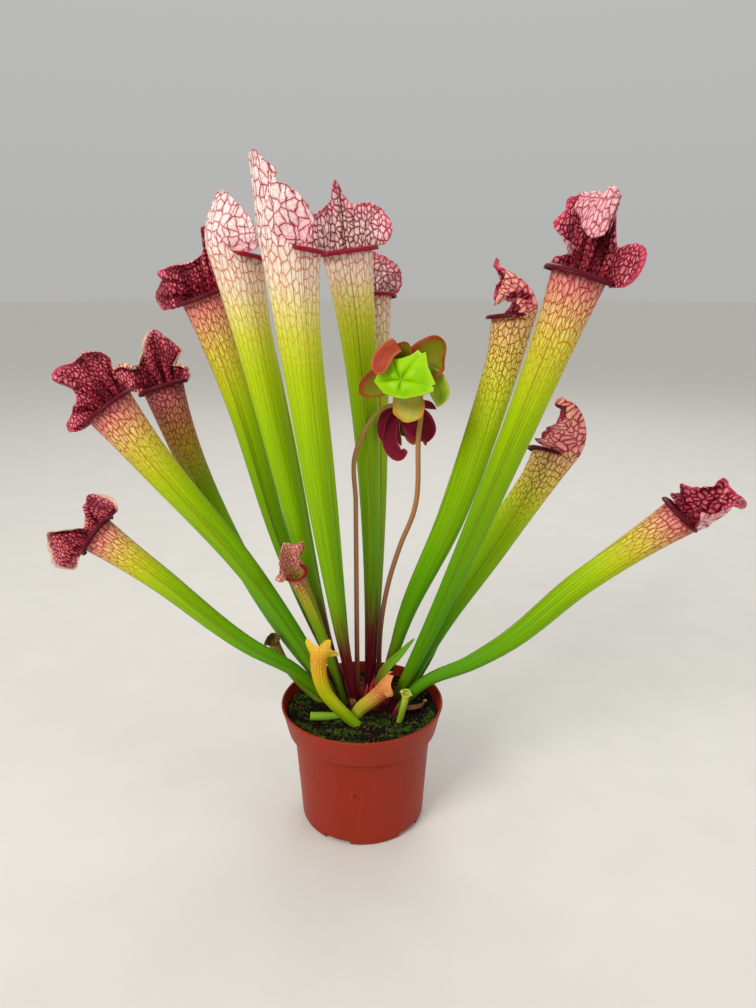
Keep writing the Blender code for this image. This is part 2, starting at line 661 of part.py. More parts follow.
def make_pot():
    """The pot: a turned shell with notches and drain holes at its base."""
    below, above = (POT_HEIGHT - BAND_HEIGHT + step for step in (-BAND_STEP, BAND_STEP))
    inside = [(0, POT_WALL), (FLOOR_RADIUS, POT_WALL), (inner_radius(RAMP_HEIGHT), RAMP_HEIGHT),
              (inner_radius(below), below), (inner_radius(above), above),
              (RIM_DIAMETER / 2 - POT_WALL, POT_HEIGHT)]
    pot = turned("pot", inside + pot_outside() + [(0, 0)], POT_FACETS, (0.33, 0.06, 0.035), 0.45)
    group = cutter_group("pot_cutters")
    for index in range(NOTCH_COUNT):
        turn = 2 * math.pi * index / NOTCH_COUNT + math.radians(NOTCH_START)
        direction = Vector((math.cos(turn), math.sin(turn), 0))
        notch = bmesh.new()
        bmesh.ops.create_cube(notch, size=1)
        for vert in notch.verts:
            vert.co = Vector((vert.co.x * 2 * NOTCH_DEPTH, vert.co.y * NOTCH_WIDTH,
                              vert.co.z * 2 * NOTCH_HEIGHT)) * MM
        item = add_object("notch", notch, (1, 1, 1), collection=group)
        item.location = direction * BASE_DIAMETER / 2 * MM
        item.rotation_euler.z = turn
        hole = bmesh.new()
        bmesh.ops.create_cone(hole, cap_ends=True, segments=DRAIN_FACETS, depth=4 * POT_WALL * MM,
                              radius1=DRAIN_DIAMETER / 2 * MM, radius2=DRAIN_DIAMETER / 2 * MM)
        item = add_object("drain", hole, (1, 1, 1), collection=group)
        item.location = direction * DRAIN_CIRCLE * MM
    hide_cutters(group)
    cut(pot, group)
    return pot


def soil_height(x, y):
    """Height of the peat's surface, which swells and sinks a little."""
    first, second, third = SOIL_WAVES
    bumps = np.sin(x / first + 1) * np.cos(y / second) - np.sin(y / third) / 2
    return SOIL_LEVEL + SOIL_SWELL * bumps


def peat_surface(x, y):
    """Height of the faceted peat, which runs straight from ring to ring."""
    reach = math.hypot(x, y)
    rings = [0.0, *SOIL_RINGS]
    heights = [soil_height(x * ring / reach, y * ring / reach) for ring in rings]
    return np.interp(reach, rings + [inner_radius(SOIL_LEVEL)], heights + [SOIL_LEVEL])


def crown_ball(name, grow, collection):
    """The rhizome's low rounded body, or a larger copy of it."""
    bm = bmesh.new()
    bmesh.ops.create_uvsphere(bm, u_segments=CROWN_FACETS[0], v_segments=CROWN_FACETS[1], radius=1)
    for vert in bm.verts:
        size = [(half + grow) * MM for half in CROWN_SIZE]
        vert.co = Vector([vert.co[i] * size[i] + CROWN_CENTRE[i] * MM for i in range(3)])
    return add_object(name, bm, (0.20, 0.03, 0.03), 0.6, collection)


def foot_sockets():
    """Holes for the feet of leaves and stems, a little wider than each foot."""
    group = cutter_group("sockets")
    leaves = [(leaf, BIG) for leaf in BIG_TRUMPETS] + [(leaf, SMALL) for leaf in SMALL_TRUMPETS]
    for leaf, detail in leaves:
        share = tube_shares(detail.tube_rows)[:3 if detail is SMALL else 2]
        radii = [(value, tube_radius(leaf, value) + SOCKET_EASE) for value in share]
        add_socket(group, leaf.route, leaf.faces, radii, share)
    for piece in STALKS[:2]:
        share = np.linspace(0, STEM_SOCKET, 3)
        radii = [(value, piece.radii[0][1] + SOCKET_EASE) for value in share]
        add_socket(group, piece.route, STALK_FACES, radii, share)
    for piece in BLADES:
        share = np.linspace(0, BLADE_SOCKET, 4)
        radii = [(value, piece.width / 2 + SOCKET_EASE) for value in share]
        add_socket(group, piece.route, piece.faces, radii, share)
    hide_cutters(group)
    return group


def add_socket(group, route, faces, radii, share):
    """One socket, sunk a little below the foot that stands in it."""
    centre, up, front, side = (values[:, None] for values in frames(route, faces, share))
    centre = centre - up * SOCKET_SINK * (share == 0)[:, None, None]
    radius = np.array([value for _, value in radii])[:, None, None]
    turn = np.linspace(-np.pi, np.pi, SOCKET_FACETS + 1)[None, :, None]
    places = centre - radius * np.cos(turn) * front + radius * np.sin(turn) * side
    add_object("socket", rolled(places, True, True), (1, 1, 1), collection=group)


def make_soil(sockets):
    """Peat that fills the pot, hollowed for the crown and the feet."""
    top = [(0, SOIL_LEVEL)] + [(radius, SOIL_LEVEL) for radius in SOIL_RINGS]
    below, above = (POT_HEIGHT - BAND_HEIGHT + step for step in (-BAND_STEP, BAND_STEP))
    side = [(inner_radius(height) - SOIL_EASE, height)
            for height in (SOIL_LEVEL, above, below, RAMP_HEIGHT + GAP)]
    bottom = [(FLOOR_RADIUS - SOIL_EASE, POT_WALL + GAP), (0, POT_WALL + GAP)]
    soil = turned("soil", top + side + bottom, POT_FACETS, (0.02, 0.016, 0.01), 0.95)
    settle(soil)
    hollow = cutter_group("crown_hollow")
    crown_ball("crown_hollow", GAP, hollow)
    hide_cutters(hollow)
    cut(soil, hollow)
    cut(soil, sockets)
    return soil


def evaluated_mesh(made):
    """The mesh of an object with its modifiers."""
    bpy.context.view_layer.update()
    return bpy.data.meshes.new_from_object(made.evaluated_get(bpy.context.evaluated_depsgraph_get()))


def settle(soil):
    """Apply the turning and let the peat's surface swell and sink."""
    mesh = evaluated_mesh(soil)
    soil.modifiers.clear()
    soil.data = mesh
    for vert in mesh.vertices:
        on_top = vert.co.z > (SOIL_LEVEL - GAP) * MM
        if on_top and vert.co.xy.length < SWELL_RADIUS * MM:
            vert.co.z = soil_height(vert.co.x / MM, vert.co.y / MM) * MM


def make_rhizome(sockets):
    """The crown that all leaves and stems stand in."""
    crown = crown_ball("rhizome", 0.0, part_collection)
    cut(crown, sockets)
    return crown


def make_bark():
    """A curled scrap of bark on the peat."""
    x, y = BARK_PLACE
    along_x, along_y = np.meshgrid(*(np.linspace(-1, 1, count) for count in BARK_GRID))
    level = SOIL_LEVEL + SOIL_SWELL + LYING_HEIGHT
    lift = BARK_CURL * along_x ** 2 + BARK_TWIST * along_y * along_x
    places = np.stack([x + BARK_LENGTH / 2 * along_x + BARK_SLANT * along_y,
                       y + BARK_WIDTH / 2 * along_y + BARK_SLANT * along_x, level + lift], -1)
    bm = sheet(places)
    bmesh.ops.triangulate(bm, faces=bm.faces)
    return thicken(add_object("bark_scrap", bm, (0.16, 0.07, 0.03), 0.8))


def make_grain():
    """One slow-release fertiliser grain on the peat."""
    bm = bmesh.new()
    bmesh.ops.create_icosphere(bm, subdivisions=2, radius=GRAIN_RADIUS * MM)
    made = add_object("fertiliser_grain", bm, (0.65, 0.50, 0.08), 0.4)
    x, y = GRAIN_PLACE
    made.location = Vector((x, y, peat_surface(x, y) + GRAIN_RADIUS + GAP)) * MM
    return made


def main():
    """Clear the scene and build every piece."""
    for item in list(bpy.data.objects):
        bpy.data.objects.remove(item)
    bpy.context.scene.collection.children.link(part_collection)
    bpy.context.scene.collection.children.link(cutter_collection)
    sockets = foot_sockets()
    make_pot()
    make_soil(sockets)
    make_rhizome(sockets)
    for leaf in BIG_TRUMPETS:
        trumpet(leaf, BIG)
    for leaf in SMALL_TRUMPETS:
        trumpet(leaf, SMALL)
    for piece in STALKS:
        stalk(piece)
    for piece in ROSETTES:
        rosette(piece)
    for piece in BLADES:
        blade(piece)
    make_bark()
    make_grain()


main()
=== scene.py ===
# %% [markdown]
# # A trumpet pitcher in its pot
# This lesson dresses a packed set of plain solids as a living plant. A trumpet pitcher grows
# hollow leaves, each a tube with a rolled lip and a hood, from one crown in wet peat. We load the
# solids first: they fix where everything stands, and no step below moves them.

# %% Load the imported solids
import math
from dataclasses import dataclass

import bmesh
import bpy
import numpy as np
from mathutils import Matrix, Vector, noise


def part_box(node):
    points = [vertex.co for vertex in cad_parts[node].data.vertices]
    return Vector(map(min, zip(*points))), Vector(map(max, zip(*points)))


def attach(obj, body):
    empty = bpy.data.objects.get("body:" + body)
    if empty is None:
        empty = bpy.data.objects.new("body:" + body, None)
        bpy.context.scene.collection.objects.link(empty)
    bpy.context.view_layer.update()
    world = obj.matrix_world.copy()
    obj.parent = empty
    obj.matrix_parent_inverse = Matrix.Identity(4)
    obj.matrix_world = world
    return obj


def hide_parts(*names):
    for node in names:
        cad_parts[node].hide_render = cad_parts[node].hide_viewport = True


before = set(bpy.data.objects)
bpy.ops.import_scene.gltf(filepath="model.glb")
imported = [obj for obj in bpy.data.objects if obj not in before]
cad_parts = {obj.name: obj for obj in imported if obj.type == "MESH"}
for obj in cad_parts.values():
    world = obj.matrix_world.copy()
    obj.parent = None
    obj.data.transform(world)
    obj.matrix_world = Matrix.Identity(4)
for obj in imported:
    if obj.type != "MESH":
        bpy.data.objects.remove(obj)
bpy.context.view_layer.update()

MM, TAU = 0.001, 2 * math.pi

# %% [markdown]
# The camera stands where the photographer's did: a little above the pot's rim and half a metre in
# front, tipped down about 16 degrees. A phone's wide lens is what makes the near leaves look large.
# A longer lens further away would flatten the clump.

# %% Set up the camera
PITCH = 15.56       # degrees that the camera looks down
lens = bpy.data.cameras.new("camera")
lens.sensor_fit, lens.sensor_height, lens.lens = "VERTICAL", 36.0, 27.04
lens.clip_start = 0.01
camera = bpy.data.objects.new("camera", lens)
camera.location = (0.0118, -0.5074, 0.3853)
camera.rotation_euler = (math.radians(90 - PITCH), 0, 0)
bpy.context.scene.collection.objects.link(camera)
bpy.context.scene.camera = camera
print("camera looks down", PITCH, "degrees")

# %% [markdown]
# Every colour and grain below is a small graph of shader nodes. Drawing such graphs by hand gets
# long, so one class wraps a node's output and lets Python's own signs add the maths nodes. A second
# class is the material being made. It keeps the colour so far, so that tones are laid over each
# other as coats of paint are.

# %% Write shader graphs as expressions
def maths(operation):
    """A method of a wire that adds a Math node."""
    return lambda wire, *others: wire.finish.node("ShaderNodeMath", {"operation": operation},
                                                  dict(enumerate((wire, *others))))


class Wire:
    """One output of a shader node. Arithmetic on it adds Math nodes."""

    def __init__(self, finish, socket):
        self.finish, self.socket = finish, socket

    __add__ = __radd__ = maths("ADD")
    __mul__ = __rmul__ = maths("MULTIPLY")
    __sub__, highest = maths("SUBTRACT"), maths("MAXIMUM")
    to_and_fro, size = maths("PINGPONG"), maths("ABSOLUTE")

    def __rsub__(self, other):
        return self.finish.node("ShaderNodeMath", {"operation": "SUBTRACT"}, {0: other, 1: self})

    def part(self, axis):
        """The x, y or z of a vector, as axis 0, 1 or 2."""
        return self.finish.node("ShaderNodeSeparateXYZ", None, {0: self}, axis)

    def smooth(self, start, end, low=0.0, high=1.0):
        """A soft step from low to high while this value goes from start to end."""
        return self.finish.node("ShaderNodeMapRange", {"interpolation_type": "SMOOTHSTEP"},
                                {0: self, 1: start, 2: end, 3: low, 4: high})

    def scaled(self, size):
        return self.finish.node("ShaderNodeVectorMath", {"operation": "MULTIPLY"}, {0: self, 1: size})

    def noise(self, scale, detail=3.0, out=0):
        """Cloudy noise at this place. A scale of three numbers stretches it."""
        place, scale = (self.scaled(scale), 1.0) if isinstance(scale, tuple) else (self, scale)
        return self.finish.node("ShaderNodeTexNoise", None,
                                {"Vector": place, "Scale": scale, "Detail": detail}, out)


class Finish:
    """A material that is being made, with its colour so far."""

    def __init__(self, name, shine):
        self.material = bpy.data.materials.new(name)
        self.material.use_nodes = True
        self.nodes, self.links = self.material.node_tree.nodes, self.material.node_tree.links
        self.shader = self.nodes["Principled BSDF"]
        self.feed(self.shader.inputs["Specular IOR Level"], shine)

    def node(self, kind, settings=None, sockets=None, out=0):
        """Add a node: its settings first, then the values or links of its sockets."""
        made = self.nodes.new(kind)
        for key, value in (settings or {}).items():
            setattr(made, key, value)
        for key, value in (sockets or {}).items():
            self.feed(made.inputs[key], value)
        return Wire(self, made.outputs[out])

    def feed(self, socket, value):
        """Link a wire to a socket, or set it: to numbers, or to a tone from its six figures."""
        if isinstance(value, Wire):
            self.links.new(value.socket, socket)
        else:
            socket.default_value = tone(value) if isinstance(value, str) else value

    def place(self):
        """Where a point lies on its object, in metres."""
        return self.node("ShaderNodeTexCoord", out="Object")

    def map(self, title):
        return self.node("ShaderNodeUVMap", {"uv_map": title})

    def ramp(self, value, stops):
        """Tones or shares along a value, from a text such as "0 6a9400, .5 8c1030"."""
        made = self.node("ShaderNodeValToRGB", None, {0: value})
        elements, stops = made.socket.node.color_ramp.elements, [stop.split() for stop in stops.split(",")]
        while len(elements) < len(stops):
            elements.new(1.0)
        for element, (place, look) in zip(elements, stops):
            element.position = float(place)
            element.color = tone(look) if len(look) == 6 else (*[float(look)] * 3, 1)
        return made

    def mix(self, share, first, second):
        return self.node("ShaderNodeMix", {"data_type": "RGBA"}, {0: share, 6: first, 7: second}, 2)

    def lay(self, share, colour):
        """Lay a tone or a wire over the colour so far, where the share is high."""
        self.colour = self.mix(share, self.colour, colour)

    def wear(self, roughness, height=None, strength=0.3, deep=0.0003):
        """Join the colour so far, a roughness and a relief to the shader."""
        self.feed(self.shader.inputs["Base Color"], self.colour)
        self.feed(self.shader.inputs["Roughness"], roughness)
        if height:
            bump = self.node("ShaderNodeBump", None,
                             {"Strength": strength, "Distance": deep, "Height": height})
            self.feed(self.shader.inputs["Normal"], bump)
        return self.material


def tone(code):
    """A colour from its six figures, as the linear numbers that shaders use."""
    parts = [int(code[place:place + 2], 16) / 255 for place in (0, 2, 4)]
    return (*(part / 12.92 if part <= 0.04045 else ((part + 0.055) / 1.055) ** 2.4
              for part in parts), 1.0)


print("a middle grey is", round(tone("808080")[0], 3), "in linear numbers")

# %% [markdown]
# Plants look best in broad, soft light: a hard lamp would put a bright stripe on every tube. So a
# pale floor, a pale surround that brightens overhead, one large lamp from the upper left, a weaker
# one from the right and one from behind do the work, as windows and an open sky would.

# %% Lay the floor and hang the lights
floor_finish = Finish("pale_floor", 0.5)
floor_finish.colour = floor_finish.mix(floor_finish.place().noise(18.0), "cfccc6", "d8d5cf")
bpy.ops.mesh.primitive_circle_add(vertices=96, radius=40.0, fill_type="NGON")
floor = bpy.context.object
floor.name = "floor"
floor.data.materials.append(floor_finish.wear(0.7))

bpy.context.scene.view_settings.view_transform = "Standard"
surround = bpy.data.worlds.new("surround")
surround.use_nodes = True
sky, wires = surround.node_tree.nodes, surround.node_tree.links
gradient, level, place = (sky.new(kind) for kind in ("ShaderNodeValToRGB", "ShaderNodeSeparateXYZ",
                                                     "ShaderNodeTexCoord"))
wires.new(place.outputs["Generated"], level.inputs[0])
wires.new(level.outputs["Z"], gradient.inputs[0])
wires.new(gradient.outputs[0], sky["Background"].inputs["Color"])
gradient.color_ramp.elements.new(0.3)
for element, share in zip(gradient.color_ramp.elements, (0.46, 0.50, 0.78)):
    element.color = (share * 0.99, share * 0.985, share * 0.965, 1)
bpy.context.scene.world = surround


def hang_lamp(name, place, size, power, colour=(1, 1, 1)):
    """A square soft lamp that looks at the middle of the clump."""
    light = bpy.data.lights.new(name, "AREA")
    light.size, light.energy, light.color = size, power, colour
    lamp = bpy.data.objects.new(name, light)
    lamp.location = place
    lamp.rotation_euler = (Vector((0, 0, 0.25)) - Vector(place)).to_track_quat("-Z", "Y").to_euler()
    bpy.context.scene.collection.objects.link(lamp)


hang_lamp("window_left", (-1.0, -1.3, 1.5), 0.8, 29, (1, 0.98, 0.94))
hang_lamp("window_right", (1.5, -0.6, 0.9), 0.9, 5)
hang_lamp("sky_behind", (0.3, 1.5, 1.8), 1.2, 12)
print("floor and three soft lamps")

# %% [markdown]
# A leaf's form is easiest to say along its own axis: how it bends, how wide it is there, and what
# lies round it. So we need a smooth curve through a few points, and at each place on it three
# directions: up the leaf, to its open front, and to its side. Points are written as plain text,
# which reads more easily than rows of brackets.

# %% Curves and their directions
def read_points(text):
    """Points from a text such as "0 0 77, 5 30 254"."""
    return [tuple(float(word) for word in point.split()) for point in text.split(",")]


def unit(vectors):
    return vectors / np.linalg.norm(vectors, axis=-1, keepdims=True)


def through(knots, points, at):
    """A smooth curve through points that lie at the given knots."""
    knots, points, at = (np.asarray(values, float) for values in (knots, points, at))
    slopes = np.gradient(points, knots, axis=0, edge_order=min(2, len(knots) - 1))
    span = np.clip(np.searchsorted(knots, at, side="right") - 1, 0, len(knots) - 2)
    length = (knots[span + 1] - knots[span])[..., None]
    s = (at[..., None] - knots[span][..., None]) / length
    start, end = points[span], points[span + 1]
    return ((1 + 2 * s) * (1 - s) ** 2 * start + s * (1 - s) ** 2 * length * slopes[span]
            + s * s * (3 - 2 * s) * end + s * s * (s - 1) * length * slopes[span + 1])


def along(route, share):
    """Places on a route at shares of its length."""
    route = np.asarray(route, float)
    spans = np.linalg.norm(np.diff(route, axis=0), axis=1)
    return through(np.concatenate(([0], np.cumsum(spans))) / spans.sum(), route, share)


def frames(route, faces, share):
    """Centre, upward, front and side directions at shares of a route, a row for each."""
    centre = along(route, share)
    up = unit(along(route, np.minimum(share + 0.01, 1)) - along(route, np.maximum(share - 0.01, 0)))
    faces = np.asarray(faces, float)
    front = unit(faces - (up @ faces)[:, None] * up)
    return (values[:, None] for values in (centre, up, front, np.cross(front, up)))


bent = read_points("0 0 0, 10 0 10, 10 0 20")
print("halfway up a bent route:", along(bent, np.array([0.5])).round(1))

# %% [markdown]
# Almost every piece here is a sheet: rows of points that become a grid of faces, joined where its
# sides meet, and then given a thickness. Each face corner also keeps flat coordinates in
# millimetres, so that veins and spots can be drawn at their true size.

# %% Turn rows of points into pieces
def surface(name, places, finish, maps=None, skip=()):
    """An object from rows of points in millimetres, with named maps and columns left open."""
    rows, columns = places.shape[:2]
    corner = np.arange(rows * columns).reshape(rows, columns)
    quads = np.stack([corner[:-1, :-1], corner[:-1, 1:], corner[1:, 1:], corner[1:, :-1]], -1)
    quads = np.delete(quads, list(skip), axis=1).reshape(-1, 4)
    mesh = bpy.data.meshes.new(name)
    mesh.from_pydata((places.reshape(-1, 3) * MM).tolist(), [], quads.tolist())
    for title, values in (maps or {}).items():
        layer = mesh.uv_layers.new(name=title)
        layer.data.foreach_set("uv", values.reshape(-1, 2)[quads.ravel()].ravel())
    joined = bmesh.new()
    joined.from_mesh(mesh)
    bmesh.ops.remove_doubles(joined, verts=joined.verts, dist=1e-7)
    joined.to_mesh(mesh)
    joined.free()
    return add_object(name, mesh, finish)


def add_object(name, mesh, finish):
    """Link a mesh as a piece, shaded smooth, with its material."""
    mesh.materials.append(finish)
    mesh.shade_smooth()
    made = bpy.data.objects.new(name, mesh)
    bpy.context.scene.collection.objects.link(made)
    return made


def thicken(made, wall, side=-1.0, inner=0):
    """Give a sheet its thickness. The inner face may wear the next material."""
    solid = made.modifiers.new("wall", "SOLIDIFY")
    solid.thickness, solid.offset = wall * MM, side
    solid.material_offset = solid.material_offset_rim = inner
    return made


def keep(made, slot, *nodes):
    """Let a piece ride with the plant and stand for solids; its slot is not used."""
    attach(made, "root")
    if nodes:
        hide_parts(*nodes)
    return made


print("sheet helpers ready")

# %% [markdown]
# A trumpet leaf starts as a narrow stalk, widens into a tube with a thin ridge down its front, and
# opens in a mouth. The front of the rim rolls outward into the lip; the back runs on into the hood.
# Each leaf is described by its route, its mouth and the outline of its flattened hood. Routes and
# mouths are the solids' own, so the fine leaf lies where the solid does; the hoods are drawn finer.

# %% Describe the trumpet leaves
WAYS = ("bend",         # degrees that the hood leans over the mouth
        "late",         # a high one lets the hood lean only near its tip
        "cup",          # how far the hood keeps the tube's curve
        "flare",        # how sharply its ears turn outward
        "ruffle",       # height of its ruffle
        "waves",        # how many half waves the ruffle has on each side
        "drop",         # how much lower the rim is in front than behind
        "red_foot",     # share of the leaf that is red from its foot
        "pleat",        # height of the pleats that fan out from the neck
        "curl")         # width of the margin that rolls over, forward here and back there


@dataclass
class Leaf:
    """One trumpet leaf, in millimetres."""

    name: str
    kind: str
    route: str              # foot, bends, middle of the mouth
    faces: tuple            # the way that the mouth opens
    mouth: float            # width of the mouth
    edge: str               # hood outline: across and height, from one ear's foot to the other
    ways: str               # the values that WAYS names
    neck: float = 1.0       # width of the hood's neck, as a share of the tube's
    foot: float = 4.6       # width of the foot
    wing: float = 3.4       # height of the ridge down the front
    lip: float = 1.7        # radius that the lip rolls to
    lip_turn: float = 200.0     # degrees that it rolls through
    early: float = 0.7      # power of the tube's even widening: a high one keeps its foot slim
    greening: float = 1.0   # a high one keeps the tube green further up
    fold: tuple = ()        # share of the hood at which it folds over, and how sharply

    def __post_init__(self):
        self.route, self.edge = read_points(self.route), read_points(self.edge)
        self.hood = max(height for _, height in self.edge)
        for way, value in zip(WAYS, self.ways.split()):
            setattr(self, way, float(value))


LEAVES = [
    Leaf("pitcher_far_left", "dried",
         "-18 4 77, -48 4 112, -84 6 133, -153 18 184, -196 28 212", (0.25, -1, 0.35), 28,
         "22 1, 30 3, 36 12, 38 24, 32 34, 24 37, 15 28, 5 20, -5 22, -14 28, -22 29, -27 18, -28 5, "
         "-22 0",
         "-30 2.5 .1 2.2 2.2 4 5 .08 1.8 8"),
    Leaf("pitcher_left", "crimson", "-13 -2 77, -79 4 190, -150 12 278, -174 16 309", (0.15, -1, 0.1), 35,
         "23 -2, 31 2, 32 10, 24 15, 17 20, 16 29, 21 39, 19 45, 11 46, 2 43, -8 44, -15 40, -19 33, "
         "-17 24, -15 16, -21 9, -22 2",
         "15 1.3 .1 2 3.4 5 5 .1 2.2 8"),
    Leaf("pitcher_left_rear", "deep",
         "-19 25 77, -64 35 135, -94 44 187, -135 62 270, -152 74 315", (0.1, -1, 0.0), 31,
         "18 2, 30 10, 38 19, 38 28, 29 32, 18 26, 11 33, 4 44, -4 48, -12 40, -20 30, -20 24, "
         "-11 18, -20 15, -27 10, -25 2, -17 1",
         "20 1.3 .2 2 3 4 5 .1 2.2 12"),
    Leaf("pitcher_rear_left", "crimson", "-10 31 77, -60 40 198, -91 50 311, -114 56 382", (0, -1, 0), 31,
         "23 0, 32 3, 35 11, 32 19, 26 24, 25 30, 14 31, 2 29, -8 31, -11 34, -15 47, -21 45, -29 18, "
         "-23 2",
         "22 1.3 .15 2 2.4 4 5 .2 2 8"),
    Leaf("pitcher_tall_left", "pale", "-12 19 77, -35 19 164, -64 9 315, -79 0 408", (0.85, 0.5, 0), 34,
         "21 3, 26 9, 27 18, 24 29, 15 39, 3 44, -10 40, -20 30, -25 16, -21 3",
         "46 1 .8 .9 1 3 13 .22 .4 2", early=1.0),
    Leaf("pitcher_tallest", "pale", "-4 8 77, -28 -15 251, -40 -38 411", (0.85, 0.5, 0), 36,
         "22 4, 25 13, 25 24, 20 33, 14 38, 14 43, 8 50, 0 53, -10 48, -18 38, -26 22, -22 3",
         "2 1 .8 .9 1 3 10 .2 .4 2", early=0.9),
    Leaf("pitcher_centre", "pale", "3 23 77, 5 30 254, -9 35 412", (0.05, -1, 0), 35,
         "25 2, 32 13, 27 26, 15 32, 6 37, 2 50, -3 38, -10 32, -19 33, -28 27, -33 14, -26 2",
         "20 1.3 .15 1.6 1.8 4 3 .22 1.2 4", early=1.0, greening=1.2),
    Leaf("pitcher_centre_rear", "pale", "6 42 77, 12 60 247, 7 86 382", (0.2, -1, 0), 30,
         "20 3, 25 13, 22 27, 11 34, 0 39, -10 36, -20 31, -25 20, -24 10, -20 3",
         "24 1.3 .2 1.6 1.6 3 3 .2 1 4", early=1.1, greening=0.7),
    Leaf("pitcher_right_rear", "green_back",
         "14 27 77, 32 27 143, 68 27 225, 93 30 308, 106 32 370", (-1, 0.1, 0), 30,
         "20 3, 20 12, 15 22, 21 33, 19 42, 11 40, 7 48, -4 49, -8 41, -25 35, -13 24, -15 13, -20 3",
         "82 .65 .6 .6 1.6 3 9 .12 1.6 8"),
    Leaf("pitcher_right_tall", "crimson",
         "19 4 77, 55 -6 165, 81 -14 237, 114 -16 328, 137 -14 395", (-0.45, -1, 0), 35,
         "18 2, 20 8, 14 14, 10 19, 20 22, 28 28, 24 36, 25 46, 19 56, 21 66, 21 76, 13 84, 9 91, "
         "0 97, -7 90, -3 76, 3 62, -4 46, -9 34, -15 25, -26 29, -34 24, -34 8, -24 -2",
         "172 1.3 .3 1.6 1.6 4 3 .06 1.6 5", neck=0.95, lip=2.2, fold=(0.62, 0.1)),
    Leaf("pitcher_right", "green_back", "27 12 77, 58 14 143, 98 22 204, 140 34 271", (-1, 0.4, 0.3), 31,
         "22 3, 31 14, 26 25, 16 33, 20 44, 6 60, -12 54, -13 38, -24 30, -37 20, -34 4, -22 1",
         "88 1.2 .8 .6 2.6 4 8 .05 1.6 8"),
    Leaf("pitcher_far_right", "crimson",
         "22 -5 77, 44 -6 108, 81 -8 127, 103 -9 141, 157 -12 192, 217 -17 240", (-0.5, -0.35, 1), 27,
         "20 3, 24 12, 16 20, 13 28, 10 41, 3 38, -8 37, -19 33, -15 20, -27 13, -20 3",
         "20 1.3 .85 .8 2.4 4 8 .05 1.6 11"),
]
YOUNG_LEAVES = [
    Leaf("pitcher_small_red", "small", "-12 8 77, -34 4 155, -47 -3 194", (0.6, -0.8, 0), 14,
         "9 1, 14 3, 16 8, 10 9, 7 13, 3 19, -2 24, -6 23, -9 20, -14 22, -15 16, -9 10, -9 3",
         "22 1 .5 .9 .8 3 6 .03 .3 1.5", foot=3.6, wing=2.0, lip=1.0, lip_turn=150),
    Leaf("pitchlet_yellow", "yellow",
         "0 -16 77, -12 -18 90, -27 -18 110, -30 -18 138", (0.15, 1, -0.1), 13,
         "7 0, 13 1, 13 5, 8 7, 8 15, 4 14, 0 9, -5 10, -10 12, -10 6, -7 0",
         "12 1.3 .3 1.2 .3 3 1 .02 .2 .5", neck=0.95, foot=7.0, wing=0.8, lip=0.8, lip_turn=100),
    Leaf("pitchlet_orange", "orange", "-6 -7 77, -2 -8 88, 8 -8 97, 17 -9 106", (0.45, 0.2, -0.85), 13,
         "7 0, 11 2, 13 7, 7 8, 2 14, -3 9, -8 11, -12 7, -11 2, -7 0",
         "10 1.3 .5 1.6 .3 3 1 .02 .2 .5", neck=0.95, foot=8.5, wing=0.6, lip=0.8, lip_turn=100),
    Leaf("pitchlet_green", "lime", "26 -14 77, 30 -15 93, 32 -15 104", (-0.3, -1, 0.4), 5.6,
         "4.224 1.96, 4.8 2.38, 4.032 4.34, 2.016 6.02, 0 7, -2.016 6.02, -4.032 4.34, -4.8 2.38, "
         "-4.224 1.96",
         "75 1.3 .5 1.6 .2 3 .5 .02 .1 .3", neck=0.9, foot=4.0, wing=0.5, lip=0.6, lip_turn=100),
    Leaf("pitchlet_brown_lid", "olive", "-26 14 77, -50 20 97, -68 22 128", (0.6, -1, 0.3), 9,
         "6.688 2.6, 7.6 3.4, 6.384 6.2, 3.192 8.6, 0 10, -3.192 8.6, -6.384 6.2, -7.6 3.4, "
         "-6.688 2.6",
         "75 1.3 .5 1.6 .3 3 1 .02 .2 .5", neck=0.8, foot=4.4, wing=0.8, lip=0.9, lip_turn=100),
]
print(len(LEAVES), "large leaves and", len(YOUNG_LEAVES), "young ones")

# %% [markdown]
# The tube is rows of rings. Its width grows evenly at first and flares just below the mouth. The
# front of each ring is drawn out a little as a keel, with a narrow ridge on it. The rim slopes,
# lower at the front than behind.

# %% Shape the tube
REACH = math.radians(72)       # the part of the rim, each way from the back, that becomes the hood


def tube_radius(leaf, share):
    return (leaf.foot + (leaf.mouth - leaf.foot) * (0.65 * share ** leaf.early + 0.35 * share ** 6)) / 2


def tube_places(leaf, turn, rows):
    """Shares of the leaf's length, closer near both ends, and a ring of points at each."""
    even = np.linspace(0, 1, rows + 1)
    share = even - 0.11 * np.sin(TAU * even)
    centre, up, front, side = frames(leaf.route, leaf.faces, share)
    radius = tube_radius(leaf, share)[:, None, None]
    turn = turn[None, :, None]
    from_seam, sine, cosine = np.pi - np.abs(turn), np.sin(turn), np.cos(turn)
    ridged = np.sin(np.pi * np.clip((share - 0.16) / 0.75, 0, 1))[:, None, None]
    out = -radius * cosine + leaf.wing * ridged * np.exp(-(from_seam / 0.14) ** 2)
    out = out + radius * ridged * 0.26 * np.exp(-(from_seam / 0.6) ** 2)
    lift = leaf.drop / 2 * cosine * share[:, None, None] ** 8
    return share, centre + out * front + radius * sine * side + lift * up


tallest = LEAVES[5]
print(tallest.name, "at its mouth:", tube_radius(tallest, 1.0), "mm radius")

# %% [markdown]
# The hood is a flat outline that is bent three ways: it goes on round the tube's curve, its ears
# turn outward past the lip, and it leans over the mouth, or folds over at one height. Pleats fan
# out from its neck, a ruffle and a fine crinkle grow towards the margin, and the margin itself
# rolls forward here and back there.

# %% Shape the hood and the lip
ROLL = 3.4          # radius that the hood's margin rolls to, in millimetres
LEAN_STEPS = 40     # short straight steps that the hood's lean is added up from


